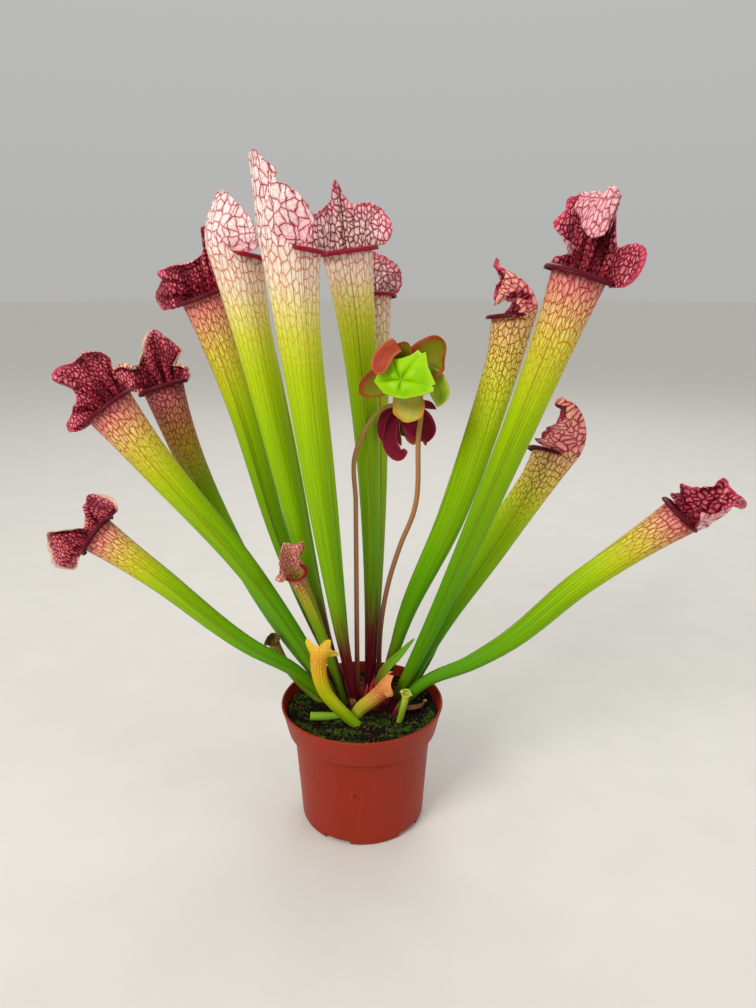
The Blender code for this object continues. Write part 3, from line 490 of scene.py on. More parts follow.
def hood_profile(leaf, sideways, level):
    """How far the hood stands forward of its midrib, by distance from it."""
    radius = leaf.mouth / 2
    curve = 1 + (leaf.cup - 1) * level
    sine = np.sin(curve * REACH)
    aside = np.abs(sideways)
    within = np.minimum(aside, radius * sine / curve)
    beyond = (aside - within) * leaf.flare / radius
    turned = np.maximum(sine - beyond, -0.6)
    straight = np.maximum(-0.6 - sine + beyond, 0) * -0.75
    inner = (1 - np.sqrt(1 - (curve * within / radius) ** 2)) / curve
    return radius * (inner + (np.sqrt(1 - turned ** 2) - np.cos(curve * REACH) + straight) / leaf.flare)


def hood_lean(leaf):
    """Steps up the hood: the lean at each, and how far it has climbed and reached forward."""
    steps = np.linspace(0, 1, LEAN_STEPS + 1)
    over = steps ** leaf.late
    if leaf.fold:
        over = 0.5 + 0.5 * np.tanh((steps - leaf.fold[0]) / leaf.fold[1])
    lean = np.radians(leaf.bend) * over
    climb, reach = (np.concatenate(([0], np.cumsum(wave(lean[1:])))) * leaf.hood / LEAN_STEPS
                    for wave in (np.cos, np.sin))
    return steps, lean, climb, reach


def hood_places(leaf, across, rise):
    """Points of the hood, and its flattened (sideways, height) places."""
    radius = leaf.mouth / 2
    across, rise = np.meshgrid(across, rise)
    root = np.stack([radius * np.sin(REACH * across), 0 * across], -1)
    neck = root * leaf.neck + np.stack([0 * across, 0.38 * radius * (1 - 0.8 * across ** 10)], -1)
    phase = leaf.route[0][0] * 1.7
    outline = through(np.linspace(1, -1, len(leaf.edge))[::-1], leaf.edge[::-1], across)
    outward = unit(outline - neck)
    rolled = leaf.curl * np.sin(5.3 * across + phase) * np.clip((1 - np.abs(across)) / 0.15, 0, 1)
    outline = outline + outward * np.maximum(np.abs(rolled) - ROLL, 0)[..., None]
    low = np.clip(rise / 0.3, 0, 1)[..., None]
    high = np.clip((rise - 0.3) / 0.7, 0, 1)[..., None] ** np.array((1.8, 1.0))
    to_margin = np.linalg.norm(outline - neck, axis=-1) * (1 - high[..., 1])
    bowed = np.maximum(np.abs(rolled) - to_margin, 0)
    flat = root + (neck - root) * low + (outline - neck) * high
    flat = flat - outward * (bowed - ROLL * np.sin(bowed / ROLL))[..., None]
    sideways, height = flat[..., 0], flat[..., 1]
    level = np.clip(height / leaf.hood, 0, 1)
    crinkle = np.sin(17 * np.pi * across + phase) + 0.6 * np.sin(29 * np.pi * across + 1)
    pleats = np.sin(6.3 * np.pi * across + phase) + 0.6 * np.sin(11.7 * np.pi * across + 2 * phase)
    inward = (hood_profile(leaf, sideways, level)
              + leaf.ruffle * rise ** 2 * np.sin(leaf.waves * np.pi * across)
              + leaf.pleat * np.sin(np.pi * np.minimum(rise, 0.8) / 1.6) * pleats
              + 0.04 * radius * rise ** 5 * crinkle
              + np.sign(rolled) * ROLL * (1 - np.cos(bowed / ROLL)))
    steps, lean, climb, reach = hood_lean(leaf)
    here, climbed, reached = (np.interp(level, steps, row)[..., None] for row in (lean, climb, reach))
    centre, up, front, side = frames(leaf.route, leaf.faces, np.ones(1))
    lift = (leaf.drop / 2 * np.cos(REACH * across) * (1 - rise))[..., None]
    inward = inward[..., None]
    return (centre + (climbed - inward * np.sin(here) + lift) * up
            + (reached + inward * np.cos(here) - radius) * front + flat[..., :1] * side), flat


def lip_places(leaf, turn, rise):
    """The rolled lip round the front of the mouth."""
    turn, rise = (values[..., None] for values in np.meshgrid(turn, rise))
    fade = np.clip((np.abs(turn) - REACH) / math.radians(25), 0, 1)
    roll = leaf.lip * (0.5 + 0.5 * fade)
    rolled_by = np.radians(leaf.lip_turn) * rise
    centre, up, front, side = frames(leaf.route, leaf.faces, np.ones(1))
    out = leaf.mouth / 2 + roll * (1 - np.cos(rolled_by))
    lift = leaf.drop / 2 * np.cos(turn) + roll * np.sin(rolled_by)
    return centre + out * (np.sin(turn) * side - np.cos(turn) * front) + lift * up


ears = hood_profile(tallest, 27.0, 0.2)
print("its hood's ears reach", round(float(ears), 1), "mm forward")

# %% [markdown]
# Veins must run up the leaf, crowd in the stalk and fan out in the hood. So the leaf's flat
# coordinates go round the tube by angle and up it by length, and slide over to the hood's own
# flattened shape above the mouth. Two more maps tell the paint how high it is, how far the red of
# the foot reaches, and where the lip and the front ridge are.

# %% Build one leaf
# How many faces: up the tube, up the hood, across the hood and along each side of the lip.
FINE_GRID, YOUNG_GRID = (48, 44, 60, 26), (34, 14, 22, 12)


def leaf_maps(leaf, turn, rise, share, places, flat, lip_columns):
    """Maps for every point: the vein net in millimetres, zones along the leaf, and its parts."""
    rows, columns = places.shape[:2]
    rim = len(share) - 1
    above, hood = slice(rim + 1, rows), slice(lip_columns + 1, columns - lip_columns - 1)
    lips = np.r_[:lip_columns + 1, columns - lip_columns - 1:columns]
    around = np.tile(turn * leaf.mouth / 2, (rows, 1))
    slide = np.clip(rise / 0.5, 0, 1)[:, None]
    around[above, hood] += slide * (flat[..., 0] * 1.15 - around[above, hood])
    steps = np.linalg.norm(np.diff(places, axis=0), axis=2).mean(axis=1)
    up_tube = np.concatenate(([0], np.cumsum(steps)))[:, None] + np.zeros(columns)
    up_tube[above, hood] = up_tube[rim, 0] + flat[..., 1]
    up_tube[above, lips] = up_tube[rim, 0] + (rise * 4 * leaf.lip)[:, None]
    height, red = (np.concatenate((values, 1 + rise))[:, None] + np.zeros(columns)
                   for values in (share ** leaf.greening, share))
    lipped = np.zeros((rows, columns))
    lipped[above, lips], lipped[rim, lips] = 1, 0.5
    seam = np.tile(np.abs(turn) / np.pi, (rows, 1))
    offset = 37.0 * len(leaf.name) + leaf.route[0][0]       # so that no two leaves share a net
    return {"net": np.stack((around + offset, up_tube), -1),
            "zones": np.stack((height, red / leaf.red_foot), -1), "parts": np.stack((lipped, seam), -1)}


def grow(leaf, finishes, grid, wall):
    """One trumpet leaf as a thin wall, open at its mouth."""
    tube_rows, hood_rows, hood_columns, lip_columns = grid
    left = np.linspace(-np.pi, -REACH, lip_columns + 1)
    across = np.linspace(-1, 1, hood_columns + 1)
    turn = np.concatenate((left, across * REACH, -left[::-1]))
    rise = np.linspace(0, 1, hood_rows + 1)[1:] ** 0.8
    share, tube = tube_places(leaf, turn, tube_rows)
    hood, flat = hood_places(leaf, across, rise)
    crown = np.concatenate((lip_places(leaf, left, rise), hood, lip_places(leaf, -left[::-1], rise)), 1)
    places = np.concatenate((tube, crown))
    maps = leaf_maps(leaf, turn, rise, share, places, flat, lip_columns)
    gaps = (lip_columns, lip_columns + hood_columns + 1)
    made = surface(leaf.name + "_leaf", places, finishes[0], maps, gaps)
    made.data.materials.append(finishes[1])
    return thicken(made, wall, inner=1)


up_tube, up_hood, over_hood, over_lip = FINE_GRID
print("a large leaf's skin is", (up_tube + up_hood) * (over_hood + 2 * over_lip), "faces")

# %% [markdown]
# The skin is paler than its veins, and both change up the leaf: red stalk, green tube, then cream
# or rose. In the hood the net is a cell pattern: its cell walls are the veins, with long veins laid
# over it, and the middles of the cells are paler than the flesh beside the veins. Cells are
# stretched up the leaf, and shaken a little so that no two look alike. Down the tube the net fades
# and long straight veins take over. Inside the hood the net is dark and close, and painted shade
# darkens the valleys of its folds.

# %% Paint the leaf skins
GREEN = "0 6a9400, .06 5c9a00, .16 72ae00, .3 9cc600, "
# SHADED_GREEN is GREEN made about a quarter darker: painted shade on the tubes of the crimson, deep and
# green-backed leaves.
SHADED_GREEN = "0 5c8a00, .06 4a8400, .16 5a9a00, .3 8cb800, "
GREEN_VEINS = "0 4c7a00, .1 3f8000, .3 74a000, "
LONG_VEINS = "0 3c6400, .2 3c7400, .34 6c8000, .42 a4660c, .48 a83c20"


def net_of(place, cell, line):
    """The walls of a net's cells, and their middles, each from 0 to 1."""
    walls = place.finish.node("ShaderNodeTexVoronoi",
                              {"voronoi_dimensions": "2D", "feature": "DISTANCE_TO_EDGE"},
                              {"Vector": place.scaled((1 / cell[0], 1 / cell[1], 0)), "Scale": 1.0})
    return walls.smooth(line * 0.35, line, 1.0, 0.0), walls.smooth(line, line + 0.2)


def leaf_skin(name, flesh, veins, windows, presence, cell, line=0.06, lip="560818", gloss=0.42,
              margin=("e0506c", 0.0), fold_shade=0.0, midrib=0.0, blush=0.0):
    """Skin from tones along the leaf: its flesh, veins, cell middles, and how clear they are."""
    finish = Finish(name, 0.1)
    net, zones, parts = (finish.map(title) for title in ("net", "zones", "parts"))
    height, red, lipped, seam = zones.part(0) * 0.5, zones.part(1), parts.part(0), parts.part(1)
    shaken = net
    for scale, swing in (((0.16, 0.1, 0), (2.6, 2.6, 0)), ((0.45, 0.3, 0), (1.3, 1.7, 0))):
        shaken = finish.node("ShaderNodeVectorMath", {"operation": "MULTIPLY_ADD"},
                             {0: net.noise(scale, 2.0, 1), 1: swing, 2: shaken})
    large, middles = net_of(shaken, cell, line)
    small = net_of(shaken, (cell[0] / 2.1, cell[1] / 2.1), line * 1.2)[0] * 0.35
    long = shaken.part(0).to_and_fro(cell[0] * 0.75).smooth(0.1, 0.38, 0.9, 0.0)
    rib = seam.smooth(0.004, 0.02, 1.0, 0.0) * height.smooth(0.47, 0.5) * midrib
    netted = 1 - height.smooth(0.33, 0.46, 0.6, 0.0)
    vein = (large.highest(small).highest(long) * netted).highest(rib)
    course = net.part(0) + net.noise((0.1, 0.012, 0), 2.0) * 3
    straight = course.to_and_fro(cell[0] * 0.55).smooth(0.1, 0.36, 0.65, 0.0)
    straight = straight * height.smooth(0.08, 0.3, 0.5, 1.0) * height.smooth(0.46, 0.52, 1.0, 0.0)
    clear, vein_tone = finish.ramp(height, presence), finish.ramp(height, veins)
    patch = net.noise((0.05, 0.02, 0))
    finish.colour = finish.mix(patch * 0.16, finish.ramp(height, flesh), vein_tone)
    finish.lay(net.noise((0.9, 0.01, 0)).smooth(0.4, 0.64) * height.smooth(0.3, 0.44, 0.4, 0.0), "336e00")
    finish.lay(middles * netted * clear, finish.ramp(height, windows))
    if blush:
        finish.lay(seam.smooth(0.12, 0.4) * height.smooth(0.5, 0.62) * blush, "e48c9c")
    # Painted shade: dark bands in the vein tone, laid in the valleys of the hood's folds.
    if fold_shade:
        fold_shade_mask = shaken.noise((0.14, 0.025, 0), 2.0).smooth(0.44, 0.62)
        finish.lay(fold_shade_mask * height.smooth(0.47, 0.55) * fold_shade, vein_tone)
    finish.lay(vein * clear, vein_tone)
    finish.lay(straight, finish.ramp(height, LONG_VEINS))
    sides = (seam - 0.5).size().smooth(0.002, 0.012, 0.5, 0.0)
    ridge = seam.smooth(0.984, 0.997) * height.smooth(0.4, 0.5, 0.6, 0.35)
    finish.lay(ridge.highest(sides), "80280c")
    hair_line = net.noise((1.1, 0.006, 0), 2.0).smooth(0.56, 0.63)
    finish.lay(hair_line * red.smooth(0.8, 3.4, 0.75, 0.0), "a03414")
    streak = net.noise((0.5, 0.03, 0)) - 0.5
    foot = (red + streak * 1.6).smooth(0.7, 1.5, 1.0, 0.0)
    finish.lay(foot, finish.mix(streak + 0.5, "3c0610", "7c1828"))
    finish.lay(height.smooth(0.95, 0.99) * margin[1], margin[0])
    finish.lay(lipped.smooth(0.1, 0.8), lip)
    return finish.wear(patch * 0.18 - lipped * 0.14 + (gloss - 0.06), vein, 0.35)


pale_outside = leaf_skin(
    "pale_trumpet_outside",
    GREEN + ".39 b4ce10, .425 ccd838, .45 e2de80, .472 eedcb8, .5 efc4b4, .58 f0cac0, 1 eebcbc",
    GREEN_VEINS + ".39 a0a800, .44 cc6c1c, .47 c43828, .51 94122c, 1 8c1030",
    GREEN + ".39 bcd414, .425 d6de54, .45 ecea9c, .472 f4ecd4, .5 f4e8de, 1 f4e2de",
    "0 .2, .3 .3, .4 .4, .47 .7, .52 1, 1 1", cell=(4.2, 7.4), lip="94102a",
    blush=0.55)
pale_inside = leaf_skin(
    "pale_trumpet_inside",
    "0 c4cf60, .44 cfa890, .5 b0505c, .58 dc9c94, .8 e4b4ac, 1 dc8490",
    "0 8aa020, .44 a04038, .5 4c0818, .8 5c0a1e, 1 98183a",
    "0 d0d880, .44 dcc8a8, .5 d89090, .58 fad0cc, .8 fce0dc, 1 f4c4c8",
    "0 .3, .4 .6, .5 1, 1 1", cell=(3.4, 5.0), line=0.11, lip="8c1028",
    margin=("c83c5c", 0.3), midrib=1.0)
crimson_outside = leaf_skin(
    "crimson_trumpet_outside",
    SHADED_GREEN + ".36 a0c400, .4 b4cc14, .44 ccc43c, .465 d8a860, .483 d0786a, .5 c06060, .55 dc9090, "
    ".62 e8acac, 1 e09098",
    GREEN_VEINS + ".37 8c9800, .4 b06a14, .44 a83418, .48 9c1428, .51 8c0e2a, 1 8c0e2e",
    SHADED_GREEN + ".36 a8c808, .4 bcd024, .44 d8d858, .465 e4cc88, .485 e4a488, .5 d48888, .55 e8b8b4, "
    ".62 f4d4d0, 1 eeb8bc",
    "0 .2, .3 .25, .38 .4, .44 .8, .47 .95, 1 .95", cell=(3.1, 6.6), line=0.075)
green_back = leaf_skin(
    "green_backed_trumpet_outside",
    SHADED_GREEN + ".36 a0c400, .42 c8d424, .46 dccc50, .5 d8a868, .56 c49c50, .64 d07c6c, .78 dc6c70, "
    "1 e88c78",
    GREEN_VEINS + ".38 788400, .42 8c5414, .46 8c2418, .5 7c1024, 1 8c0e2a",
    SHADED_GREEN + ".36 a8cc08, .42 d8e44c, .46 ecdc80, .5 ecc498, .56 dcc080, .64 eca89c, .78 f4a4a4, "
    "1 fcc0a8",
    "0 .2, .3 .3, .38 .6, .44 .95, 1 1", cell=(3.4, 5.6), line=0.09)
deep_outside = leaf_skin(
    "deep_trumpet_outside",
    SHADED_GREEN + ".35 7c9800, .4 94902c, .44 a47c3c, .475 a8605c, .5 984450, .6 c88078, 1 d8a080",
    GREEN_VEINS + ".36 6c6400, .4 84300c, .44 7c1420, .5 64081e, 1 8c2020",
    SHADED_GREEN + ".35 8ca808, .4 a8a43c, .44 bc9450, .475 c48078, .5 b46870, .6 e0b09c, 1 ecc8a8",
    "0 .2, .3 .3, .38 .8, .44 1, 1 .95", cell=(3.0, 5.4), line=0.1)
crimson_inside, dried_inside = (leaf_skin(
    name,
    "0 a8a040, .44 8a3c34, .5 580812, .56 800c1c, .7 a2182e, .88 bc2c42, 1 cc3c56",
    "0 6a5a18, .44 501018, .5 2c0008, .75 3c0012, 1 600622",
    "0 b8b050, .44 a85048, .5 7c101c, .56 bc3846, .7 d85460, .88 ee868c, 1 f4a2a8",
    "0 .3, .42 .9, 1 1", cell=(2.2, 3.9), line=0.13, gloss=0.45,
    margin=margin, fold_shade=0.65) for name, margin in (("crimson_trumpet_inside", ("d84868", 0.5)),
                                                    ("dried_trumpet_inside", ("e8c4a8", 0.85))))
SKINS = {"pale": (pale_outside, pale_inside), "crimson": (crimson_outside, crimson_inside),
         "deep": (deep_outside, dried_inside), "dried": (crimson_outside, dried_inside),
         "green_back": (green_back, crimson_inside)}
print("seven skins for the large leaves")

# %% [markdown]
# Young leaves wear the same skin in other tones. Yellow and orange ones are mottled rather than
# netted, so their cells are small and their lines broad. The middles of the cells are a paler shade
# of the flesh, which a helper works out.

# %% Paint the young leaves
def paler(stops, share=0.25):
    """The same stops, each tone mixed with a little white."""
    mixed = []
    for place, code in (stop.split() for stop in stops.split(",")):
        parts = (round(int(code[at:at + 2], 16) * (1 - share) + 255 * share) for at in (0, 2, 4))
        mixed.append(place + " " + "".join(f"{part:02x}" for part in parts))
    return ", ".join(mixed)


YOUNG_SKINS = {      # kind: name; tones of its flesh and veins, and how clear they are; cell, line, lip
    "yellow": (
        "yellow_pitchlet", "0 6ca000, .12 90b400, .28 c4c40c, .42 dcb418, .5 e0a828, 1 e8c43c",
        "0 5c8c00, .25 a89010, .42 c46c18, .5 c05c20, 1 c87828",
        "0 .1, .3 .15, .42 .4, .5 .4, 1 .2", (2.2, 3.6), 0.14, "dcb830"),
    "orange": (
        "orange_pitchlet", "0 88a80c, .15 b8b820, .3 dcb440, .45 e0904c, 1 e69a5c",
        "0 7c8400, .25 b8601c, .5 b0381c, 1 c04c30",
        "0 .1, .25 .3, .4 .75, .55 .5, 1 .25", (1.8, 2.4), 0.16, "e8a878"),
    "small": (
        "small_red_trumpet", "0 64900c, .3 84ac10, .42 9cac1c, .47 b0a038, .52 dc9480, 1 e09c84",
        "0 5c7800, .3 7c6400, .42 982c14, .5 941c28, 1 a82434",
        "0 .05, .3 .15, .4 .4, .46 .9, 1 1", (2.2, 3.4), 0.11, "7c101a"),
    "lime": (
        "lime_pitchlet", "0 8fb81c, .3 b0cc34, 1 c8d858", "0 7ca010, 1 9cb830",
        "0 .3, 1 .4", (1.8, 2.6), 0.12, "c8d060"),
    "olive": (
        "olive_pitchlet", "0 5c8010, .3 7c9418, .45 8c8c28, .5 847c28, 1 7c7428",
        "0 5a4c10, .3 6c4010, .5 6c2c18, 1 6c3018",
        "0 .2, .4 .5, 1 .5", (2.2, 3.4), 0.12, "744020"),
}
for kind, (name, flesh, veins, *others) in YOUNG_SKINS.items():
    SKINS[kind] = [leaf_skin(name, flesh, veins, paler(flesh), *others)] * 2
print(len(SKINS), "kinds of leaf")

# %% [markdown]
# Now the leaves themselves. Each stands for the plain solid of the same name and rides with the
# plant. Young leaves are small, so a coarser grid and a thinner wall are enough.

# %% Grow all leaves
SLOTS = {"pale": "pale_trumpet", "yellow": "yellow_leaf", "lime": "yellow_leaf", "orange": "orange_leaf",
         "olive": "green_leaf"}
for group, grid, wall in ((LEAVES, FINE_GRID, 0.75), (YOUNG_LEAVES, YOUNG_GRID, 0.55)):
    for leaf in group:
        made = grow(leaf, SKINS[leaf.kind], grid, wall)
        keep(made, SLOTS.get(leaf.kind, "crimson_trumpet"), leaf.name)
print("grown:", len(LEAVES) + len(YOUNG_LEAVES), "leaves")

# %% [markdown]
# The pot is injection-moulded: a collar band, a small step, a tapered body, and notches and holes
# for drainage. It is turned from a profile whose corners are rounded first, because moulded edges
# always are, and the notches are cut out of it.

# %% Turn the pot
POT_PROFILE = read_points("0 1.5, 37 1.5, 44.6 10, 48.9 69, 53.7 73.5, 58.2 91.8, 58.7 93, 59.9 93, "
                          "60.1 91.4, 59.5 90.6, 55.2 72.2, 54.3 71.1, 50.8 70.2, 46.2 2.2, 45 0, 0 0")
NOTCHES, FIRST_NOTCH = 5, -113      # notches round the base, and the first one's turn in degrees


def soften(profile, radius, steps=4):
    """A profile with each inner corner replaced by a small arc."""
    points = np.array(profile)
    rounded = [points[0]]
    for before, here, after in zip(points, points[1:], points[2:]):
        into, out = before - here, after - here
        cut = min(radius, np.linalg.norm(into) / 2.2, np.linalg.norm(out) / 2.2)
        start, end = here + unit(into) * cut, here + unit(out) * cut
        for t in np.linspace(0, 1, steps + 1):
            rounded.append((1 - t) ** 2 * start + 2 * t * (1 - t) * here + t * t * end)
    return np.array(rounded + [points[-1]])


def turned_places(profile, facets):
    turn = np.linspace(0, TAU, facets + 1)
    radius, height = profile[:, :1], profile[:, 1:]
    return np.stack([radius * np.cos(turn), radius * np.sin(turn), height + 0 * turn], -1)


def outward(turn):
    """The level direction at a turn about the pot's axis."""
    return np.array((math.cos(turn), math.sin(turn), 0))


def cut_away(made, cutters):
    """Cut pieces out of a closed one and keep the result as its mesh."""
    group = bpy.data.collections.new("cutters")
    for cutter in cutters:
        group.objects.link(cutter)
    boolean = made.modifiers.new("cut", "BOOLEAN")
    boolean.operation, boolean.operand_type, boolean.collection = "DIFFERENCE", "COLLECTION", group
    boolean.solver = "MANIFOLD"
    bpy.context.view_layer.update()
    mesh = bpy.data.meshes.new_from_object(made.evaluated_get(bpy.context.evaluated_depsgraph_get()))
    made.modifiers.clear()
    made.data = mesh
    for cutter in cutters:
        bpy.data.objects.remove(cutter)
    bpy.data.collections.remove(group)
    mesh.shade_smooth()
    mesh.set_sharp_from_angle(angle=math.radians(38))


def pot_finish():
    """Terracotta-coloured plastic: satin, slightly cloudy, with faint rubbed streaks and dust."""
    finish = Finish("terracotta_plastic", 0.15)
    place = finish.place()
    cloud, rub = place.noise(22.0, 4.0), place.noise((300, 300, 40), 2.0)
    finish.colour = finish.mix(cloud, "86220f", "9a2e18")
    finish.lay(rub.smooth(0.6, 0.8) * 0.2, "b04a30")
    finish.lay(place.noise(900.0, 2.0).smooth(0.66, 0.74) * 0.3, "5c1c12")
    return finish.wear(cloud * 0.14 + rub * 0.1 + 0.32, place.noise(1400.0, 2.0), 0.08, 0.0002)


pot = surface("nursery_pot", turned_places(soften(POT_PROFILE, 0.7), 144), pot_finish())
cutters = []
for index in range(NOTCHES):
    turn = math.radians(FIRST_NOTCH + 360 / NOTCHES * index)
    bpy.ops.mesh.primitive_cube_add(size=MM, location=outward(turn) * 46 * MM, rotation=(0, 0, turn),
                                    scale=(9, 20, 7.2))
    cutters.append(bpy.context.object)
    bpy.ops.mesh.primitive_cylinder_add(vertices=28, radius=3.5 * MM, depth=6 * MM,
                                        location=outward(turn) * 30 * MM)
    cutters.append(bpy.context.object)
cut_away(pot, cutters)
keep(pot, "terracotta_plastic", "pot")
print("pot:", len(pot.data.polygons), "faces")

# %% [markdown]
# Wet peat is near black, crumbly and uneven, with moss growing on it in patches. The block fills
# the pot; its top gets broad swells, the same as the solid's, and then small crumbs. It was pressed
# up against the pot's wall when the plant was potted, so it climbs a little there, but not where
# the cut leaf, the bark and the grain lie.

# %% Fill the pot with peat
LYING = read_points("-26 -12 18 8, 39 3 13 9, 48 12 6 6")      # x, y and reach of what lies on the peat
TOP_RINGS = 62                                                 # rings of its top, out to the wall


def peat_height(x, y):
    """Height of the peat's surface: its broad swells, and its climb at the wall."""
    climb = np.clip((np.hypot(x, y) - 32) / 22, 0, 1) ** 2 * 3.6
    for middle_x, middle_y, reach_x, reach_y in LYING:
        climb = climb * (1 - np.exp(-((x - middle_x) / reach_x) ** 4 - ((y - middle_y) / reach_y) ** 4))
    return 82 + 0.8 * (np.sin(x / 9 + 1) * np.cos(y / 11) - np.sin(y / 6) / 2) + climb


def mossy(x, y):
    """Where moss grows, from 0 to 1."""
    value = noise.noise(Vector((x / 13, y / 11, 3.3))) + 0.6 * noise.noise(Vector((x / 4, y / 4, 8.1)))
    return min(max(0.02 + 3.4 * value - 0.009 * (x + 6) - 0.01 * y, 0), 1)


def peat_finish():
    finish = Finish("wet_peat", 0.08)
    clod = finish.place().noise(420.0, 6.0)
    green = finish.place().noise(70.0).smooth(0.5, 0.64)
    finish.colour = finish.mix(clod.smooth(0.35, 0.75), "080605", "2a1f14")
    finish.lay(green * 0.35, finish.mix(clod, "0c1407", "2c4a18"))
    return finish.wear(clod * 0.25 + 0.62, clod, 0.9, 0.0012)


rings = np.append(np.linspace(0, 55.7, TOP_RINGS), (55.4, 54.9, 52.4, 48.4, 44.0, 36.6, 0.0))
levels = np.append(np.full(TOP_RINGS, 82.0), (81.2, 79.0, 73.6, 68.0, 10.4, 1.9, 1.9))
peat_places = turned_places(np.stack((rings, levels), -1), 180)
for place in peat_places[:TOP_RINGS].reshape(-1, 3):
    x, y = place[:2]
    rough = (1.3 * noise.noise(Vector((x / 3.1, y / 3.1, 0.5)))
             + 0.8 * noise.noise(Vector((x, y, 4)) / 1.2))
    place[2] = peat_height(x, y) + rough * 0.7 - 0.3
peat = keep(surface("peat_block", peat_places, peat_finish()), "peat", "soil")
print("peat:", len(peat.data.polygons), "faces")

# %% [markdown]
# Moss is thousands of tiny shoots, each a tuft of pointed leaflets. One tuft is drawn as a few
# folded slips, then repeated as real faces with its own turn and size. The seed is fixed, so each
# run agrees.

# %% Scatter moss
rng = np.random.default_rng(11)
TUFTS, LEAFLETS = 2600, 6


def turned_axes(first, second, third):
    """Three directions of each copy, as the turns that scatter takes."""
    return np.stack([first, second, third], -1)


def tumble(count):
    """Random turns, all ways."""
    first = unit(rng.normal(size=(count, 3)))
    second = unit(np.cross(first, unit(rng.normal(size=(count, 3)))))
    return turned_axes(first, second, np.cross(first, second))


def upright_turns(count):
    """Random turns about an axis that leans a little."""
    turn, lean = rng.uniform(0, TAU, count), rng.normal(0, 0.25, count)
    axis = np.stack([np.sin(lean) * np.cos(turn), np.sin(lean) * np.sin(turn), np.cos(lean)], -1)
    first = unit(np.cross(axis, np.stack([-np.sin(turn * 3), np.cos(turn * 3), 0 * turn], -1)))
    return turned_axes(first, np.cross(axis, first), axis)


def scatter(name, points, faces, places, turns, sizes, finish):
    """Copies of a small shape as one mesh."""
    shaped = np.asarray(points, float)[None] * sizes[:, None, :]
    verts = np.einsum("nij,npj->npi", turns, shaped) + places[:, None]
    offsets = np.arange(len(places))[:, None, None] * len(points)
    mesh = bpy.data.meshes.new(name)
    mesh.from_pydata((verts.reshape(-1, 3) * MM).tolist(), [],
                     (np.asarray(faces)[None] + offsets).reshape(-1, len(faces[0])).tolist())
    return add_object(name, mesh, finish)


def spread(count, inner, outer, wanted):
    """Random places on the peat, kept where wanted(x, y) beats chance."""
    kept = []
    while len(kept) < count:
        reach, turn = math.sqrt(rng.uniform(inner ** 2, outer ** 2)), rng.uniform(0, TAU)
        x, y = reach * math.cos(turn), reach * math.sin(turn)
        if rng.uniform() < wanted(x, y):
            kept.append((x, y, peat_height(x, y)))
    return np.array(kept)


def speckled(name, dark, light, rough=0.8, scale=500.0):
    """A small-grained finish between two tones."""
    finish = Finish(name, 0.15)
    grain = finish.place().noise(scale)
    finish.colour = finish.mix(grain.smooth(0.3, 0.7), dark, light)
    return finish.wear(grain * 0.2 + (rough - 0.15), grain)


tuft, tuft_faces = [], []
for leaflet in range(LEAFLETS):
    turn = leaflet * TAU / LEAFLETS + 0.3 * (leaflet % 2)
    out, aside = outward(turn), outward(turn + TAU / 4) * 0.13
    tall = np.array((0, 0, 0.45 + 0.14 * (leaflet % 3)))
    middle = out * 0.3 + tall * 0.5
    tuft += [0 * out, middle + aside, out * 0.62 + tall, middle - aside]
    tuft_faces.append([4 * leaflet + corner for corner in range(4)])
moss_places = spread(TUFTS, 4, 54.5, mossy) - (0, 0, 0.4)
moss_sizes = rng.uniform(1.0, 3.0, (TUFTS, 1)) * np.ones((1, 3))
keep(scatter("moss_tufts", tuft, tuft_faces, moss_places, upright_turns(TUFTS), moss_sizes,
             speckled("moss", "0c1704", "4a6610", 0.75, 200.0)), "peat")
print(TUFTS, "tufts of moss")

# %% [markdown]
# Crumbs of peat and grit are small eight-sided stones, squeezed and turned at random. Drawn out
# long, the same stone makes straw and root fibres. A few specks of peat stick to the pot's outside,
# where watering splashed them.

# %% Scatter crumbs and fibres
STONE = read_points("1 0 0, -1 0 0, 0 1 0, 0 -1 0, 0 0 1, 0 0 -1")
STONE_FACES = [(0, 2, 4), (2, 1, 4), (1, 3, 4), (3, 0, 4), (2, 0, 5), (1, 2, 5), (3, 1, 5), (0, 3, 5)]


def strew(name, count, small, large, finish, shape=(1, 0.8, 0.6), turns=None):
    """Crumbs that lie on the peat."""
    sizes = rng.uniform(small, large, (count, 1)) * rng.uniform(0.6, 1.3, (count, 3)) * shape
    places = spread(count, 0, 54, lambda x, y: 1) + (0, 0, 0.15)
    turns = tumble(count) if turns is None else turns
    return keep(scatter(name, STONE, STONE_FACES, places, turns, sizes, finish), "peat")


def lying_turns(count):
    """Random turns of long bits that lie nearly flat."""
    long = unit(rng.normal(size=(count, 3)) * (1, 1, 0.25))
    second = unit(np.cross((0, 0, 1), long))
    return turned_axes(long, second, np.cross(long, second))


crumbs = [
    strew("peat_crumbs", 3000, 0.35, 1.3, speckled("peat_crumb", "060403", "2c1e12", 0.9)),
    strew("pale_grit", 320, 0.2, 0.55, speckled("grit", "8a6a34", "d0b060", 0.6)),
    strew("bark_bits", 130, 0.4, 1.5, speckled("bark_bit", "3a2010", "8a5a34"), (1, 0.8, 0.3)),
    strew("straw_fibres", 240, 1.4, 4.0, speckled("straw", "5a3c1c", "b08a50", 0.7), (1, 0.06, 0.05),
          lying_turns(240))]

